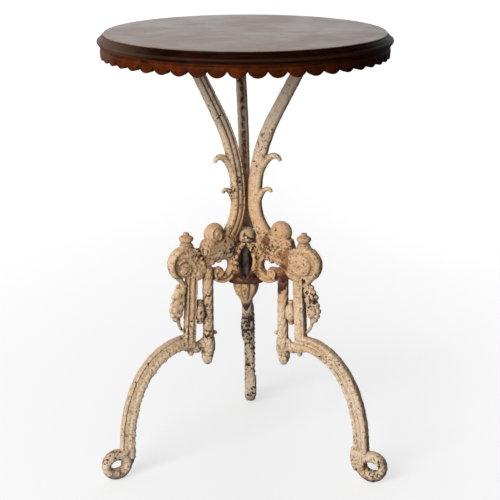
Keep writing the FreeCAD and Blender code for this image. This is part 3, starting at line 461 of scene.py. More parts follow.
def paintedIron(look):
    f = Finish("painted_iron", look)
    values = f.values
    across, height = values["across"], values["height"]
    values["tinted"] = f.math("DIVIDE", height, look["tintReach"])
    patchy = f.mask(*look["patchy"])
    values["specked"] = f.graded(patchy, look["speckEase"], values["specks"])
    # faces turned to the right, most on the table's right hand: where painted shade goes
    values["away"] = f.graded(f.mask(*look["rightHand"]), look["rightEase"], values["right"])
    paint = f.coat(f.colours("broad", "base"), "ground")
    paint = f.coat(f.mix(1, paint, f.colours("tinted", "tint"), "MULTIPLY"), "wear")
    # rust gathers at the hub, the right shoulder, down its rope post and along the back arm
    gentle, steep = look["dripSlopes"]
    drip = f.math("MINIMUM", f.graded(across, gentle, height),
                  f.graded(across, steep, f.plus(height, look["dripDrop"])))
    values["drip"] = f.graded(values["ragged"], look["dripRagged"], drip)
    values["lean"] = f.graded(f.math("SUBTRACT", height, look["streakHeight"]), look["streakLean"], across)
    values["rustValue"] = f.plus(f.most(f.masks("rustPlace"), f.masks("streak")),
                                 f.graded(values["rustGrit"], *look["rustEase"]))
    rusted = f.mask(*look["rusted"])
    values["rustTone"] = f.graded(f.mask("freshRust"), look["freshEase"], f.mask(*look["rustDepth"]))
    # flakes bare down to the dark undercoat
    ease = f.plus(f.graded(patchy, *look["flakeEase"]), f.masks("rearFlakes"))
    ease = f.graded(f.mask(*look["edge"]), look["edgeEase"], ease)
    ease = f.graded(f.mask("chipped"), look["chipEase"], ease)
    values["flaked"] = f.plus(values["flakes"], ease)
    bare = f.most(*[f.masks(rows) for rows in look["bare"]])
    colour = f.mix(rusted, paint, f.colours("rustTone", "rust"))
    # bare flakes show the undercoat; the hub's middle takes it too, as painted shade
    colour = f.mix(f.most(bare, f.masks("core")), colour, f.colours("mottle", "under"))
    worn = f.most(rusted, bare)
    skin = f.times(worn, look["wornSkin"])
    for name, share in look["skin"]:
        skin = f.graded(values[name], share, skin)
    return f.show(colour, skin, f.graded(worn, look["wornRough"], f.mask(*look["rough"])))


ironLook = {"grain": {"patch": (60, 6, 0.7), "grit": (380, 4, 0.65)}, "bump": (0.0009, 0.7),
            "base": ((0.4, "dark"), (0.55, "brown"), (0.74, "orange")), "rough": ("grit", 0.3, 0.7, 0.72, 0.95)}
rustLook = {**ironLook, "dark": (0.022, 0.01, 0.007), "brown": (0.17, 0.056, 0.018), "orange": (0.46, 0.18, 0.05),
            # the lower edge darkened: painted shade under the collar
            "edge": [("dark", ("height", 0.3152, 0.319, 0.9, 0))]}
# the tie rod is bare iron, made lighter as a painted highlight
rodHighlightLook = {**ironLook, "dark": (0.05, 0.036, 0.026), "brown": (0.22, 0.17, 0.12), "orange": (0.5, 0.44, 0.36),
           "edge": [("dark", ("height", -1, 0, 0.9, 0))]}


def rustyIron(name, look):
    # the lower edge is darkest, as painted shade under the collar
    f = Finish(name, look)
    return f.show(f.coat(f.colours("patch", "base"), "edge"), f.plus(f.values["grit"], f.values["patch"]))


woodLook = {"deep": (0.008, 0.002, 0.0015), "brown": (0.038, 0.0075, 0.002), "red": (0.105, 0.021, 0.0035),
            "worn": (0.058, 0.022, 0.012), "sheen": (0.15, 0.085, 0.055), "dust": (0.36, 0.245, 0.19), "shine": 0.012}
apronLook = {
    **woodLook, "base": ((0.25, "deep"), (0.48, "brown"), (0.85, "red")), "bump": (0.0004, 0.35), "turnReach": 0.24,
    "figure": (1, 5, 0.65, (18, 1, 420)), "grain": {"cloud": (42, 4, 0.6)}, "hollows": {"hollow": 0.012},
    # red in the cloud, then darker to the right: painted shade
    "coats": [("red", ("cloud", 0.4, 0.62, 0.1, 0.75)), ("deep", ("across", 0, 0.2, 0, 0.7)),
              # a painted sheen at the left end, then darker in the hollows: painted shade
              ("sheen", ("across", -0.236, -0.19, 0.7, 0)), ("deep", ("hollow", 0.3, 0.95, 0.8, 0))],
    "rough": ("cloud", 0.3, 0.7, 0.36, 0.52),
}


def apronWood(look):
    # grain runs round the rim, so it is drawn in angle and height
    f = Finish("mahogany_apron", look)
    turn = f.times(f.math("ARCTAN2", f.values["depth"], f.values["across"]), look["turnReach"])
    unrolled = f.make("ShaderNodeCombineXYZ", {"X": turn, "Z": f.values["height"]}).outputs["Vector"]
    f.values["figure"] = f.noise(*look["figure"], place=unrolled)
    f.shader.inputs["Specular IOR Level"].default_value = look["shine"]
    return f.show(f.coat(f.colours("figure", "base"), "coats"), f.values["figure"])


boardLook = {
    **woodLook, "base": ((0.28, "deep"), (0.52, "brown"), (0.78, "red")), "bump": (0.0004, 0.25), "flatRough": 0.05,
    "edge": ((0.3, (0.003, 0.001, 0.0006)), (0.55, (0.012, 0.003, 0.0015)), (0.78, (0.034, 0.009, 0.003))),
    "grain": {"plank": (1, 6, 0.65, (7, 190, 60)), "figure": (1, 5, 0.7, (40, 170, 55), 0.3),
              "cloud": (13, 6, 0.68), "wear": (150, 5, 0.7), "dull": (1, 6, 0.72, (110, 150, 90))},
    # dust over the clouded figure, lightened for the reflection of the bright room: dust and painted reflection
    "top": [("dust", ("clouded", 0.76, 1.2, 0.3, 0.8)), ("brown", ("wear", 0.56, 0.72, 0, 0.5)),
            # darker to the right: painted shade
            ("brown", ("across", 0, 0.25, 0, 0.35))],
    # moulding edges lightened by pointiness: wear and painted highlight; a painted sheen at the left end
    "rim": [("worn", ("pointy", 0.52, 0.57, 0, 0.75)), ("sheen", ("across", -0.24, -0.12, 0.55, 0))],
    "flat": ("height", 0.7355, 0.7368), "rough": ("cloud", 0.35, 0.65, 0.26, 0.4),
    "polish": ("dull", 0.4, 0.62, 0.8, 0.52),
}


def boardWood(look):
    # straight planks; the flat is dull and mottled, the moulded rim darker
    f = Finish("mahogany_board", look)
    f.values["clouded"] = f.plus(f.values["figure"], f.values["cloud"])
    flat = f.mask(*look["flat"])
    top = f.coat(f.colours("plank", "base"), "top")
    rim = f.coat(f.colours("plank", "edge"), "rim")
    rough = f.graded(flat, look["flatRough"], f.mask(*look["rough"]))
    # old polish, worn through in fine dull specks
    polish = f.graded(f.mask(*look["polish"]), flat, look["shine"])
    f.tree.links.new(polish, f.shader.inputs["Specular IOR Level"])
    return f.show(f.mix(flat, rim, top), f.plus(f.values["plank"], f.values["figure"]), rough)


steelLook = {"base": ((0.3, (0.2, 0.19, 0.18)), (0.7, (0.36, 0.35, 0.33))), "bump": (0.0002, 0.2),
             "grain": {"scratch": (1, 4, 0.6, (700, 700, 90))}, "rough": ("scratch", 0.3, 0.7, 0.3, 0.5)}


def brightSteel(look):
    f = Finish("bright_steel", look)
    f.shader.inputs["Metallic"].default_value = 1
    return f.show(f.colours("scratch", "base"), f.values["scratch"])


paint = paintedIron(paintLook)
rustyFinish = rustyIron("rusty_iron", rustLook)
rodHighlightFinish = rustyIron("bare_iron_highlight", rodHighlightLook)
apronFinish = apronWood(apronLook)
boardFinish = boardWood(boardLook)
steelFinish = brightSteel(steelLook)
print("finishes ready")


# Cabriole leg with ring foot, bridge, fluted post, eye scroll, shoulder and hub third

legShape = {
    "line": ([(226, 34), (226.6, 58), (222.7, 98.5), (211.5, 139.5), (193.6, 174), (169.7, 200.2), (141, 216.4),
              (118, 220.4), (101, 220.5)], 300), "width": 25.5, "thickness": 18.6,
    "scalePitch": 6.4, "scaleLean": 34, "scaleEnds": (22, 34), "scaleSink": 0.9, "scaleCorners": 14, "seed": 5,
    # each row of scales: every nth step, side, share of the width, radii, stray
    "scales": ((1, 1, 0.21, (3.4, 1.5, 3.2), 1.4), (1, 1, 0.34, (3, 1.5, 3.2), 1.4),
               (2, -1, 0.18, (3.1, 2.7, 5), 0.3)),
    "postLine": ([(109, 220), (106, 282), (103.2, 342)], 16), "post": (19.5, 16.5), "ropeReach": 73,
    "neckReach": 112.5, "grain": 0.95, "soften": 2, "lumps": ((9, 0.5), (3.2, 0.6)),
}
legFaceA = [(.07, .45), (.1, .78), (.16, .95), (.28, 1.02), (.4, .97), (.48, .84), (.54, .72), (.6, .66), (.68, .64),
            (.73, .62), (.76, .56), (.79, .49), (.85, .47), (.88, .56), (.91, .62), (.945, .58), (.98, .45), (1, .25)]
legFaceB = [(-.02, .45), (.02, .8), (.09, .94), (.2, .98), (.29, .95), (.335, .82), (.365, .74), (.395, .74),
            (.425, .82), (.46, .95), (.52, 1), (.575, .95), (.6, .83), (.63, .75), (.655, .75), (.685, .83),
            (.72, .95), (.8, 1), (.88, .94), (.94, .8), (.98, .6), (1, .25)]
postFaceA = [(0, .5), (.05, .86), (.14, .94), (.19, .78), (.24, .78), (.29, .96), (.42, 1.02), (.56, .96), (.62, .76),
             (.66, .6), (.76, .6), (.8, .76), (.85, .92), (.92, .88), (.98, .6), (1, .3)]
postFaceB = [(0, .5), (.05, .88), (.14, 1), (.4, 1.02), (.62, 1), (.69, .92), (.73, .7), (.77, .7), (.81, .9),
             (.88, .96), (.95, .9), (1, .3)]


def shinForms(shape):
    line = smoothLine(*shape["line"])
    loop = mouldedLoop(shape["width"], shape["thickness"], legFaceA, legFaceB)
    forms = [bandForm(line, lambda part: loop)]
    # overlapping scales down the inner band, even on one face and worn on the other
    normal, run = lineFrame(line)
    chance = np.random.default_rng(shape["seed"])
    low, high = shape["scaleEnds"]
    for step, travel in enumerate(np.arange(low, run[-1] - high, shape["scalePitch"])):
        index = int(np.searchsorted(run, travel))
        tilt = math.degrees(math.atan2(normal[index][1], normal[index][0])) + shape["scaleLean"]
        for every, side, share, radii, stray in shape["scales"]:
            if step % every:
                continue
            place = line[index] + normal[index] * (share - 0.5) * shape["width"] + chance.uniform(-stray, stray, 2)
            depth = side * shape["thickness"] / 2 * shape["scaleSink"]
            forms.append(pebbleForm((place[0], depth, place[1]), radii, tilt, shape["scaleCorners"]))
    return forms


footShape = {
    "ringArc": ((247.4, 26.5), (19.2, 16.6), 0, 372, 120), "ringWidths": (14.4, 19.6), "ringOval": (19.5, 32, 2.2),
    "heelArc": ((248.5, 34.5), (26.5, 26.5), 165, 115, 50), "heelOval": (15, 12, 32, 2.6, -4),
    "cuff": ([(227, 18), (222, 38), (222.4, 57.5)], 40), "cuffSize": np.array([24, 9.5]),
    "cuffOval": (36, 3.4, -7.6), "cuffSwell": (0.8, 5, 20),
    "pebbles": [((234, depth, 46), (9, 4.5, 4.2), -24) for depth in (6.5, -6.5)],
}


def footForms(shape):
    slim, stout = shape["ringWidths"]
    turn = math.radians(shape["ringArc"][3])
    ring = bandForm(arcLine(*shape["ringArc"]), lambda part: ovalLoop(
        slim + (stout - slim) * math.sin(part * turn) ** 2, *shape["ringOval"]))
    heel = bandForm(arcLine(*shape["heelArc"]), lambda part: ovalLoop(*shape["heelOval"]))
    least, opening, closing = shape["cuffSwell"]

    def cuffSection(part):
        swell = least + (1 - least) * min(1, opening * part, closing * (1 - part))
        return ovalLoop(*shape["cuffSize"] * swell, *shape["cuffOval"])
    return [ring, heel, bandForm(smoothLine(*shape["cuff"]), cuffSection)]


ropeShape = {"centre": (legShape["ropeReach"], 0, 0), "outline": [(9.1, 216), (9.1, 346)], "steps": 170, "around": 96,
             "groove": 0.06, "strands": 6, "turns": 1.35, "crest": 1.6, "round": 0.7}


def twistSwell(turns):
    # strands wound round a post
    def swell(angle, share):
        strand = np.abs(np.cos(0.5 * ropeShape["strands"] * (angle - turns * 2 * math.pi * share)))
        return 1 - ropeShape["groove"] + ropeShape["crest"] * ropeShape["groove"] * strand ** ropeShape["round"]
    return swell


bridgeShape = {
    "web": ([(69, 209.5), (93, 210), (117, 212.5)], 30), "webOval": (16, 12.5, 32, 2.6),
    "boss": ([(8, 197.5), (10.2, 198.6), (11.2, 204), (11.4, 212), (10.6, 219), (9.8, 224)], 40), "bossAround": 72,
    "bossTurns": 0.27, "wraps": 4, "wrapSteps": 40, "wrapStart": 83, "wrapSpread": 20, "wrapRun": 12,
    "wrapAxes": (6.8, 8), "wrapHeight": 209.6, "wrapRadii": (2.5, 2.5),
    "pebbles": [((106, 0, 200), (4.2, 4.6, 5)), ((61, 0, 230), (4.8, 3.6, 3.6), 10),
                ((84, 0, 219), (6.5, 5, 4.4), -30)],
}


def bridgeForms(shape):
    forms = [bandForm(smoothLine(*shape["web"]), lambda part: ovalLoop(*shape["webOval"]))]
    forms.append(turnedForm(smoothLine(*shape["boss"]), ropeShape["centre"], around=shape["bossAround"],
                            swell=twistSwell(shape["bossTurns"])))
    run = np.linspace(0, 1, shape["wrapSteps"])
    deep, tall = shape["wrapAxes"]
    for start in np.arange(shape["wraps"]) / shape["wraps"]:
        turn = (run + start) * 2 * math.pi
        along = shape["wrapStart"] + start * shape["wrapSpread"] + run * shape["wrapRun"]
        path = np.column_stack([along, deep * np.cos(turn), shape["wrapHeight"] + tall * np.sin(turn)])
        forms.append(ropeForm(path, shape["wrapRadii"]))
    return forms


eyeShape = {
    "turned": [([(0.5, -5), (21.4, -5), (23.4, -4), (24.4, 0), (23.4, 4.2), (21.4, 5), (0.5, 5)],
                (115, 0, 358), "t", 72),
               ([(12, 0), (12, 5.4), (11, 8), (8.4, 9.2), (4.6, 9.9), (0.4, 10)], (116, 0, 349), "t", 48),
               ([(0.5, -11), (14, -10.8), (18, -9.6), (20, -7), (20.4, 0)], (109.5, 0, 357), "t", 60)],
    "tubes": [(([(103, 380), (123, 382.4), (136.6, 372), (140.4, 358), (136, 344), (128, 336), (122, 328),
                 (116, 320)], 90), (5, 5.8, 6, 6, 6, 5.2, 4.2, 4), (8.6, 9.6, 10, 10, 9.6, 8.4, 7.4, 7), 28)],
    "arches": [(((116, 349), (17.2, 17.2), 40, 200, 40), (2.4, 3.2, 2.4), None, 14, 6),
               (((117, 355), (18.6, 18.6), -115, 70, 24), (1.6, 3, 2.4), None, 14, -6.6)],
    "pebbles": [((113, 3, 372), (22, 6.4, 9), 8)],
    "plates": [([(86, 342), (111, 338), (120, 348), (118, 369), (105, 376), (88, 371)], 13, 3, -5)],
    "neckSpan": (368, 391.3), "neckSteps": 24, "neckOval": (36, 2.4), "neckWidths": (50, 44, 35, 28, 24.5, 23),
    "neckDepths": (12, 14, 16, 17, 17, 17), "folds": (-4.6, 0, 4.6), "foldRope": ((1, 1.4, 1), 10),
    "foldPath": [(1, 6.2, 390), (1.4, 7.4, 383), (2.2, 7.6, 375)],
}


def neckForms(shape):
    reach = legShape["neckReach"]
    rise = np.linspace(0, 1, len(shape["neckWidths"]))
    neck = smoothLine([(reach, height) for height in shape["neckSpan"]], shape["neckSteps"])
    forms = [bandForm(neck, lambda part: ovalLoop(np.interp(part, rise, shape["neckWidths"]),
                                                  np.interp(part, rise, shape["neckDepths"]), *shape["neckOval"]))]
    for at in shape["folds"]:
        path = [(reach + at * spread, depth, height) for spread, depth, height in shape["foldPath"]]
        forms.append(ropeForm(path, *shape["foldRope"]))
    return forms


ridgeLine = ([(99, 384), (91, 374), (86, 362), (81, 347)], 40)
shoulderShape = {
    "plates": [([(112, 381), (102, 385), (96, 382.6), (91, 380.8), (84, 382), (40, 383.8), (14, 383.8), (6, 383.8),
                 (6, 373), (17, 371), (27, 367), (34, 363), (44, 359), (56, 356), (66, 353), (72, 345), (82, 338),
                 (95, 335), (108, 340), (112, 352)], 15.5, 2.6)],
    # the arm's foot leads the leg, so the near face is fuller below it
    "pebbles": [((43.5, 0, 362), (5.2, 9.6, 6.4)), ((53.5, 0, 359), (5.8, 10.2, 7.4)), ((66, 0, 358), (6.6, 9.8, 8.4)),
                ((91, 0, 338), (12, 10, 11)), ((72, 0, 369), (15, 10.2, 9.5)), ((46, 0, 374), (20, 10.4, 9)),
                ((60, 7.5, 372), (24, 10.5, 12)), ((41, 5, 371), (16, 9, 12)), ((66, -3, 372), (24, 8, 11)),
                ((26, 3, 372), (12, 9, 11))],
    "tubes": [(ridgeLine, (2, 3.4, 3.8, 2.4), None, 14, depth) for depth in (6.8, -6.2)],
}
scrollShape = {
    "arc": ((47, 345), (21.5, 21.5), 120, 188, 90), "width": 16, "thickness": 17, "slimFrom": 0.55, "slimBy": 0.32,
    "face": [(0, .5), (.06, .86), (.2, 1), (.36, .95), (.44, .6), (.56, .6), (.64, .95), (.8, 1), (.94, .86), (1, .5)],
    "pebbles": [((54, 0, 334.5), (11, 9.6, 11))],
    "coil": ((-1.2, 5.6), (8.8, 3), 40), "coilRope": ((1.9, 1.9), 10), "coilDepths": (8.4, -8.4),
}


def scrollForms(shape):
    def section(part):
        slim = 1 - shape["slimBy"] * max(0, part - shape["slimFrom"]) / (1 - shape["slimFrom"])
        return mouldedLoop(shape["width"] * slim, shape["thickness"], shape["face"], shape["face"])
    forms = [bandForm(arcLine(*shape["arc"]), section)]
    turn, out = coilLine(*shape["coil"])
    for depth in shape["coilDepths"]:
        forms.append(ropeForm(upright(polar(turn, out), depth) + shape["pebbles"][0][0], *shape["coilRope"]))
    return forms


hubShape = {
    "wedgeTip": 0.6, "wedgeArc": ((0, 0), (19, 19), -58.5, 117, 30), "spans": ((316, 325), (378, 383.8)),
    "tubes": [(([(7, 319), (14, 327), (21.5, 337), (25.6, 353), (23, 364), (16, 374), (9, 380)], 50),
               (6, 6, 6.5, 7, 6.5, 6, 5), (13, 14.5, 16.5, 17.5, 16.5, 14.5, 13), 28)],
}


def wedgeForms(shape):
    # two discs of the hub, a third each
    wedge = np.vstack([[shape["wedgeTip"], 0], arcLine(*shape["wedgeArc"])])
    return [loftForm([levelled(wedge, level) for level in span]) for span in shape["spans"]]


def legMesh(shape):
    forms = shinForms(shape) + footForms(footShape) + bridgeForms(bridgeShape) + neckForms(eyeShape)
    forms += scrollForms(scrollShape) + wedgeForms(hubShape)
    for zone in (footShape, bridgeShape, eyeShape, shoulderShape, scrollShape, hubShape):
        forms += plainForms(zone)
    loop = mouldedLoop(*shape["post"], postFaceA, postFaceB)
    forms.append(bandForm(smoothLine(*shape["postLine"]), lambda part: loop))
    return castMesh("leg", forms, shape)


legSkin = legMesh(legShape)
print("legs cast: %d faces each" % len(legSkin.polygons))


# Arm casting: hooked foot with a ball volute, two leaf curls and the pad under the top

armShape = {
    "lead": 7, "width": 22.5, "thickness": 17.8, "waistReach": 16.5, "footTrim": 5, "sunk": 373, "seat": 384,
    "head": 718, "curl": (22, 100, 50), "hook": (88, 40, 50), "bend": (300, 29, 90), "stemSteps": 60,
    "flare": ((0, .05, .12, .18, .26, .5, .8, 1), (.6, 1, 1.06, 1, 1.02, 1, .88, .85)),
    "pull": ((0, .3, .8, 1), (0, 0, 2.2, 2.4)),
    "ballRadius": 19, "ballThickness": 27, "ballTurn": -32, "ballShare": 0.6, "ballAround": 48,
    "spiral": ((-0.5, 9.2), (15.5, 2.6), 110), "spiralSink": 0.4, "spiralRadii": (1.2, 2.2, 2.2, 2),
    "foot": ([(27, 366), (58, 366), (86, 366), (90, 378), (88, 385), (84.5, 394), (70, 399), (50, 401), (38, 403),
              (30, 398), (25, 390), (23, 378), (27, 366)], 70), "footPlate": (25, 8, -2),
    "pebbles": [((30.5, 0, 391), (12.5, 9.5, 14))],
    # the big leaf curl and the small one
    "tubes": [(([(20, 468), (24.5, 493), (31, 513), (39.5, 527), (50, 534), (58.6, 532.4), (63, 526)], 60),
               (1, 3, 4.6, 5.6, 5.8, 5.2, 3), (3, 5.5, 7, 7.8, 7.4, 6, 3.6), 28),
              (([(20, 424), (22.5, 445), (26, 461), (31.5, 472), (39, 477), (44.4, 476.2), (47, 472)], 60),
               (1, 2.6, 3.8, 4.6, 4.6, 4, 2.4), (3, 5, 6.4, 6.8, 6.2, 5, 3), 28)],
    "padOval": (62, 26, 40, 8), "padThickness": 6, "grain": 1, "soften": 3, "lumps": ((11, 0.4), (3.6, 0.3)),
}
armFluted = [(0, .5), (.03, .78), (.09, .92), (.14, .88), (.175, .7), (.225, .7), (.27, .92), (.4, .98), (.52, .94),
             (.585, .74), (.63, .74), (.68, .94), (.77, 1), (.88, .92), (.96, .7), (1, .35)]
armSmooth = [(0, .35), (.04, .62), (.12, .82), (.26, .95), (.3, .88), (.35, .88), (.4, .98), (.5, 1), (.6, .98),
             (.65, .87), (.7, .87), (.74, .93), (.86, .84), (.96, .6), (1, .35)]


def armMesh(shape):
    # arcs are radius, turn, steps
    curlRadius, curlTurn, curlSteps = shape["curl"]
    hookRadius, hookTurn, hookSteps = shape["hook"]
    bendRadius, bendTurn, bendSteps = shape["bend"]
    hook, splay = math.radians(hookTurn), math.radians(bendTurn)
    waistReach, head = shape["waistReach"], shape["head"]
    curlHeight = shape["seat"] - shape["footTrim"] + shape["width"] / 2 + curlRadius
    gap = hookRadius - curlRadius
    curlReach = waistReach + hookRadius - gap * math.cos(hook)
    waist = curlHeight + gap * math.sin(hook)
    bendEnd = (waistReach + bendRadius * (1 - math.cos(splay)), waist + bendRadius * math.sin(splay))
    headReach = bendEnd[0] + (head - bendEnd[1]) * math.tan(splay)
    curl = arcLine((curlReach, curlHeight), (curlRadius,) * 2, 180 + hookTurn + curlTurn, -curlTurn, curlSteps)
    lower = arcLine((waistReach + hookRadius, waist), (hookRadius,) * 2, 180 + hookTurn, -hookTurn, hookSteps)
    upper = arcLine((waistReach + bendRadius, waist), (bendRadius,) * 2, 180, -bendTurn, bendSteps)
    stem = np.linspace(bendEnd, (headReach, head), shape["stemSteps"])

    def section(part):
        loop = mouldedLoop(shape["width"] * np.interp(part, *shape["flare"]), shape["thickness"], armFluted, armSmooth)
        return loop - (np.interp(part, *shape["pull"]), 0)
    forms = [bandForm(np.vstack([curl, lower[1:], upper[1:], stem[1:]]), section)] + plainForms(shape)
    forms.append(plateForm(smoothLine(*shape["foot"])[:-1], *shape["footPlate"]))
    turn = math.radians(shape["ballTurn"])
    ball = np.array([curlReach, 0, curlHeight]) + curlRadius * shape["ballShare"] * np.array(
        [math.cos(turn), 0, math.sin(turn)])
    radius, half = shape["ballRadius"], shape["ballThickness"] / 2
    forms.append(pebbleForm(ball, (radius, half, radius), 0, shape["ballAround"]))
    spin, out = coilLine(*shape["spiral"])
    depth = half * np.sqrt(1 - (out / radius) ** 2) - shape["spiralSink"]
    forms.append(ropeForm(ball + np.column_stack([-np.cos(spin) * out, depth, np.sin(spin) * out]),
                          shape["spiralRadii"]))
    points, faces = joinForms(forms)
    points[:, 2] = np.clip(points[:, 2], shape["sunk"], head)
    loop = ovalLoop(*shape["padOval"]) + (headReach, 0)
    pad = loftForm([levelled(loop, level) for level in (head - shape["padThickness"], head)])
    return castMesh("arm", [(points, faces), pad], shape)


armSkin = armMesh(armShape)
print("arms cast: %d faces each" % len(armSkin.polygons))


# Rope-twist post, bead, finial and acorn drop: turned pieces

beadShape = {"centre": (89, 0, 271), "steps": 60, "around": 48, "outline": [
    (2.2, -21.5), (4.6, -20.6), (5.4, -17.8), (4.4, -15.6), (5.6, -14), (9.4, -9), (10.4, -2), (10, 4), (8.4, 10.5),
    (5.2, 14.4), (4.6, 15.4), (5.5, 17.8), (4.6, 20.6), (2.2, 21.5)]}
finialShape = {"centre": (legShape["neckReach"], 0, 0), "steps": 60, "around": 48, "outline": [
    (7.5, 391), (9.8, 391.5), (10, 393.2), (8.4, 394.6), (8.6, 395.8), (11.2, 398.4), (12.2, 401.4), (11, 404.4),
    (7.4, 406.6), (5.2, 407.8), (5.4, 409.6), (4.4, 411.6), (0.4, 412.4)]}
acornShape = {"centre": (75, 0, 0), "steps": 50, "around": 48, "lobes": 5, "groove": 0.1, "twist": 9,
              "grip": ((0, 0.15, 0.6, 0.7), (0, 1, 1, 0.2)), "outline": [
    (0.6, 175.2), (3.8, 176), (6.8, 179.6), (8.8, 185), (9.6, 189), (9.2, 191.6), (9.8, 193), (11, 195),
    (10.8, 197.6), (9.4, 199.6), (6, 200.4)]}


def acornSwell(angle, share):
    lump = np.cos(acornShape["lobes"] * angle + acornShape["twist"] * share)
    return 1 + acornShape["groove"] * lump * np.interp(share, *acornShape["grip"])


ropeSkin = turnedMesh("rope_post", ropeShape, twistSwell(ropeShape["turns"]))
beadSkin = turnedMesh("bead", beadShape)
finialSkin = turnedMesh("finial", finialShape)
acornSkin = turnedMesh("acorn_drop", acornShape, acornSwell)
print("turned pieces ready")


# Leaf and berry spray that hangs from the eye scroll to the knee

sprayShape = {
    "mass": [((124, 309), (10.5, 6.8, 14), 10), ((130, 284), (11, 6.8, 18), 4), ((121, 321), (6, 6, 9), 14)],
    "rim": [((128, 320), 4.6), ((131.5, 312), 5), ((136, 304), 5.2), ((138, 290), 5.4), ((140.5, 281), 5.2),
            ((139, 272), 5.2), ((135, 265), 4.8), ((130.5, 261.5), 4.2)],
    "face": [((121, 313), (5.6, 2.6, 7), 20), ((129, 306), (6, 2.6, 6.4), -10), ((123, 299), (5.6, 2.6, 7), 15),
             ((132, 294), (6, 2.8, 6), -15), ((126, 286), (5, 2.6, 7), 10), ((134, 281), (5.6, 2.6, 6.4), -12),
             ((128, 274), (5, 2.4, 7), 8)], "faceDepths": (5.2, -5.2),
    "tubes": [(([(130, 267), (128.5, 256), (125, 247), (118.5, 239.5)], 30), (4.6, 3, 2.5, 2.7))],
    "grain": 0.85, "soften": 2, "lumps": ((5, 0.5), (2.6, 0.3)),
}


def sprayMesh(shape):
    forms = [pebbleForm((x, 0, z), radii, tilt) for (x, z), radii, tilt in shape["mass"]]
    forms += [pebbleForm((x, 0, z), (size, size, size)) for (x, z), size in shape["rim"]]
    forms += [pebbleForm((x, depth, z), radii, tilt)
              for (x, z), radii, tilt in shape["face"] for depth in shape["faceDepths"]]
    return castMesh("leaf_spray", forms + plainForms(shape), shape)


spraySkin = sprayMesh(sprayShape)
print("sprays cast: %d faces each" % len(spraySkin.polygons))

skins = {"leg": legSkin, "arm": armSkin, "rope_post": ropeSkin, "bead": beadSkin, "finial": finialSkin,
         "acorn_drop": acornSkin, "leaf_spray": spraySkin}
for side, azimuth in sides.items():
    for node, skin in skins.items():
        lead = armShape["lead"] if node == "arm" else 0
        addPiece("%s_%s" % (node.title().replace("_", ""), side), skin, azimuth + lead, paint, "painted_iron",
                 "%s_%s" % (node, side))


# Hub hardware: cap nut, flared collar and lobed pendant

capShape = {"centre": (0, 0, 0), "around": 48, "outline": [
    (0.6, 384), (14.4, 384), (16.8, 386.4), (17.6, 391), (17.2, 396), (15, 401.4), (10.4, 405.2), (5, 406.8),
    (0.4, 407)]}
collarShape = {"centre": (0, 0, 0), "around": 96, "ears": 3, "draw": 0.21, "spread": 0.13, "hollow": 1.5, "point": 4,
               "grip": ((0, 0.15, 0.3, 0.6, 0.8, 1), (0, 0.5, 1, 1, 0.3, 0)), "outline": [
    (0.6, 312.6), (21, 312.6), (24, 313), (27.6, 313.8), (28.4, 315), (28, 316.2), (25.4, 317.4), (22, 318.8),
    (19.4, 320.4), (18, 322), (0.6, 322)]}
pendantShape = {"centre": (0, 0, 0), "steps": 120, "around": 180, "lobes": 8, "groove": 0.24, "round": 0.5,
                "grip": ((0, 0.4, 0.46, 0.94, 1), (0, 0, 1, 1, 0)), "outline": [
    (0.6, 258.4), (2, 259.4), (4.6, 264), (7.6, 271), (9.4, 277), (9, 278), (10.6, 280), (14, 285), (17.8, 291),
    (20.8, 298.5), (22, 305.5), (21.9, 310.5), (20.8, 312.6), (0.6, 312.6)]}


def earedSwell(angle, share):
    ear = np.abs(np.cos(0.5 * collarShape["ears"] * (angle - math.pi / 2))) ** collarShape["hollow"]
    reach = collarShape["spread"] * ear ** collarShape["point"] - collarShape["draw"] * (1 - ear)
    return 1 + reach * np.interp(share, *collarShape["grip"])


def lobedSwell(angle, share):
    lobe = np.abs(np.cos(0.5 * pendantShape["lobes"] * (angle + math.pi / 2))) ** pendantShape["round"]
    return 1 - pendantShape["groove"] * (1 - lobe) * np.interp(share, *pendantShape["grip"])


hubPieces = (("CapNut", "cap_nut", capShape, None, paint, "painted_iron"),
             ("HubCollar", "hub_collar", collarShape, earedSwell, rustyFinish, "rusty_iron"),
             ("Pendant", "pendant", pendantShape, lobedSwell, paint, "painted_iron"))
for name, node, shape, swell, finish, slotName in hubPieces:
    addPiece(name, turnedMesh(node, shape, swell), 0, finish, slotName, node)
print("hub hardware ready")


# Round top with a moulded rim, and the scalloped apron under it

boardShape = {"centre": (0, 0, 0), "around": 288, "outline": [
    (0.5, 718), (120, 718), (232, 718), (238.4, 718), (239, 719), (238.8, 720.2), (240, 720.6), (241.4, 722),
    (241.9, 724), (241.4, 726), (239.8, 727.2), (238.4, 727.6), (237.4, 729), (235.6, 731.4), (233.2, 733.2),
    (231.8, 733.8), (231.5, 735.8), (230.6, 736.8), (229.4, 737), (120, 737), (0.5, 737)]}
apronShape = {"radius": 237, "thickness": 12, "foot": 696.5, "head": 718, "scallop": 9.8, "segments": 6, "lobes": 8,
              "turn": -87.5, "belly": 0.7, "lobeSteps": 14, "gap": 0.002, "backBevel": 0.6,
              # (inset, drop from the head) or (inset, rise from the foot)
              "headBead": ((1.2, 0), (0.6, 2.6), (1.8, 3.8)), "neck": (0.5, 5), "footBead": ((0.5, 1.6), (1.8, 0))}


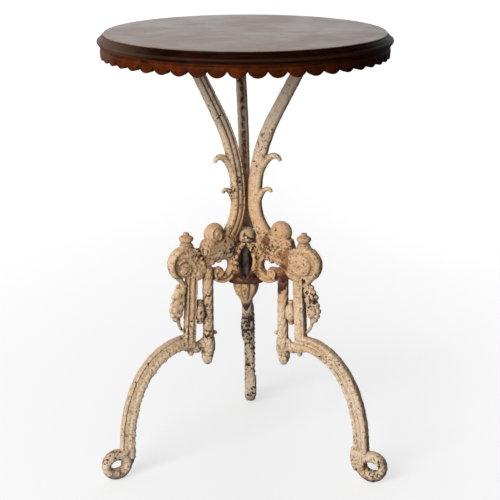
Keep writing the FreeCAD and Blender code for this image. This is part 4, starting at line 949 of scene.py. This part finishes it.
def apronMesh(shape, index):
    radius, head, gap = shape["radius"], shape["head"], shape["gap"]
    span = 360 / shape["segments"]
    steps = shape["lobes"] * shape["lobeSteps"]
    half = radius * math.sin(math.radians(span / shape["lobes"] / 2))
    lobeRadius = (half ** 2 + shape["scallop"] ** 2) / (2 * shape["scallop"])
    inner = radius - shape["thickness"]
    rings = []
    for step in range(steps + 1):
        angle = math.radians(shape["turn"] + span * index + gap + (span - 2 * gap) * step / steps)
        off = (2 * (step % shape["lobeSteps"]) / shape["lobeSteps"] - 1) * half if step < steps else half
        low = shape["foot"] + lobeRadius - math.sqrt(max(lobeRadius ** 2 - off ** 2, 0))
        outer = radius - shape["belly"] * (off / half) ** 2
        section = [(inner, low + shape["backBevel"]), (inner, head)]
        section += [(radius - inset, head - drop) for inset, drop in shape["headBead"]]
        section += [(outer - shape["neck"][0], head - shape["neck"][1]), (outer, (head + low) / 2)]
        section += [(outer - inset, low + rise) for inset, rise in shape["footBead"]]
        rings.append([(r * math.cos(angle), r * math.sin(angle), z) for r, z in section])
    return meshOf("apron_segment", [loftForm(rings)])


addPiece("TopBoard", turnedMesh("top_board", boardShape), 0, boardFinish, "mahogany", "top_board")
for index in range(apronShape["segments"]):
    addPiece("ApronSegment_%d" % (index + 1), apronMesh(apronShape, index), 0, apronFinish, "mahogany",
             "apron_segment_%d" % (index + 1))
for node, finish in (("tie_rod", rodHighlightFinish), ("arm_studs", steelFinish), ("top_screws", steelFinish),
                     ("glue_blocks", apronFinish)):
    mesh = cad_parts[node].data
    mesh.materials.clear()
    mesh.materials.append(finish)
print("wood ready")


# Pale floor, soft light and the camera

white = (1, 1, 1, 1)
floorLook = {"tone": (0.34, 0.34, 0.345), "shade": (0.3349, 0.3349, 0.339825), "base": ((0.3, "shade"), (0.7, "tone")),
             "half": 40, "glowLean": 0.045, "glowSides": 0.17, "grain": {"cloud": (2, 3, 0.55)},
             "rough": ("cloud", 0.3, 0.7, 0.7, 0.8), "glow": ("depth", -0.6, 3, 0.575, 0.84), "bump": (0.0002, 0.1)}
roomLook = {"screen": (-0.6, 0.6, 0.2, 1.02), "ceiling": (0.35, 0.8, 1, 0.2), "leftShare": 0.9}
lights = [("Key", (-1.5, -2.6, 1.7), 1.8, 116), ("Top", (-0.3, 0.5, 2.8), 2.4, 2)]  # name, place, size, watts
lightAim = (0, 0, 0.4)
cameraPlace = {"lens": 109.066, "sensor": 36, "reach": 60, "place": (0.0716, -2.4726, 1.0565), "pitch": 15.58,
               "turn": 1.5, "roll": -0.14}


def addFloor(look):
    half = look["half"]
    mesh = bpy.data.meshes.new("Floor")
    mesh.from_pydata([(-half, -half, 0), (half, -half, 0), (half, half, 0), (-half, half, 0)], [], [(0, 1, 2, 3)])
    floor = bpy.data.objects.new("Floor", mesh)
    scene.collection.objects.link(floor)
    f = Finish("pale_floor", look)
    across = f.values["across"]
    glow = f.graded(across, look["glowLean"], f.mask(*look["glow"]))
    glow = f.graded(f.math("ABSOLUTE", across), look["glowSides"], glow)
    f.shader.inputs["Emission Color"].default_value = white
    f.tree.links.new(glow, f.shader.inputs["Emission Strength"])
    mesh.materials.append(f.show(f.colours("cloud", "base"), f.values["cloud"]))
    # the white screen glows for itself and throws no light up on the table
    own = bpy.data.collections.new("FloorOnly")
    own.objects.link(floor)
    floor.light_linking.receiver_collection = own


def addWorld(look):
    # white screen behind, a darker room on the camera's side and overhead
    world = bpy.data.worlds.new("Studio")
    world.use_nodes = True
    scene.world = world
    w = Nodes(world.node_tree)
    across, depth, height = w.split(w.make("ShaderNodeTexCoord", {}).outputs["Generated"])
    screen = w.ramp(w.graded(across, -look["leftShare"], depth), *look["screen"])
    background = w.tree.nodes["Background"]
    background.inputs["Color"].default_value = white
    w.tree.links.new(w.times(screen, w.ramp(height, *look["ceiling"])), background.inputs["Strength"])


def addLights(rows):
    for name, place, size, watts in rows:
        lamp = bpy.data.lights.new(name, "AREA")
        lamp.size = size
        lamp.energy = watts
        holder = bpy.data.objects.new(name, lamp)
        holder.location = place
        holder.rotation_euler = (Vector(lightAim) - Vector(place)).to_track_quat("-Z", "Y").to_euler()
        scene.collection.objects.link(holder)


def addCamera(spot):
    lens = bpy.data.cameras.new("Camera")
    lens.lens = spot["lens"]
    lens.sensor_width = spot["sensor"]
    lens.clip_end = spot["reach"]
    camera = bpy.data.objects.new("Camera", lens)
    camera.location = spot["place"]
    turn = turnBy(spot["turn"], "Z") @ turnBy(90 - spot["pitch"], "X") @ turnBy(spot["roll"], "Z")
    camera.rotation_euler = turn.to_euler()
    scene.collection.objects.link(camera)
    scene.camera = camera


addFloor(floorLook)
addWorld(roomLook)
addLights(lights)
addCamera(cameraPlace)
scene.view_settings.view_transform = "Standard"
print("stage ready")
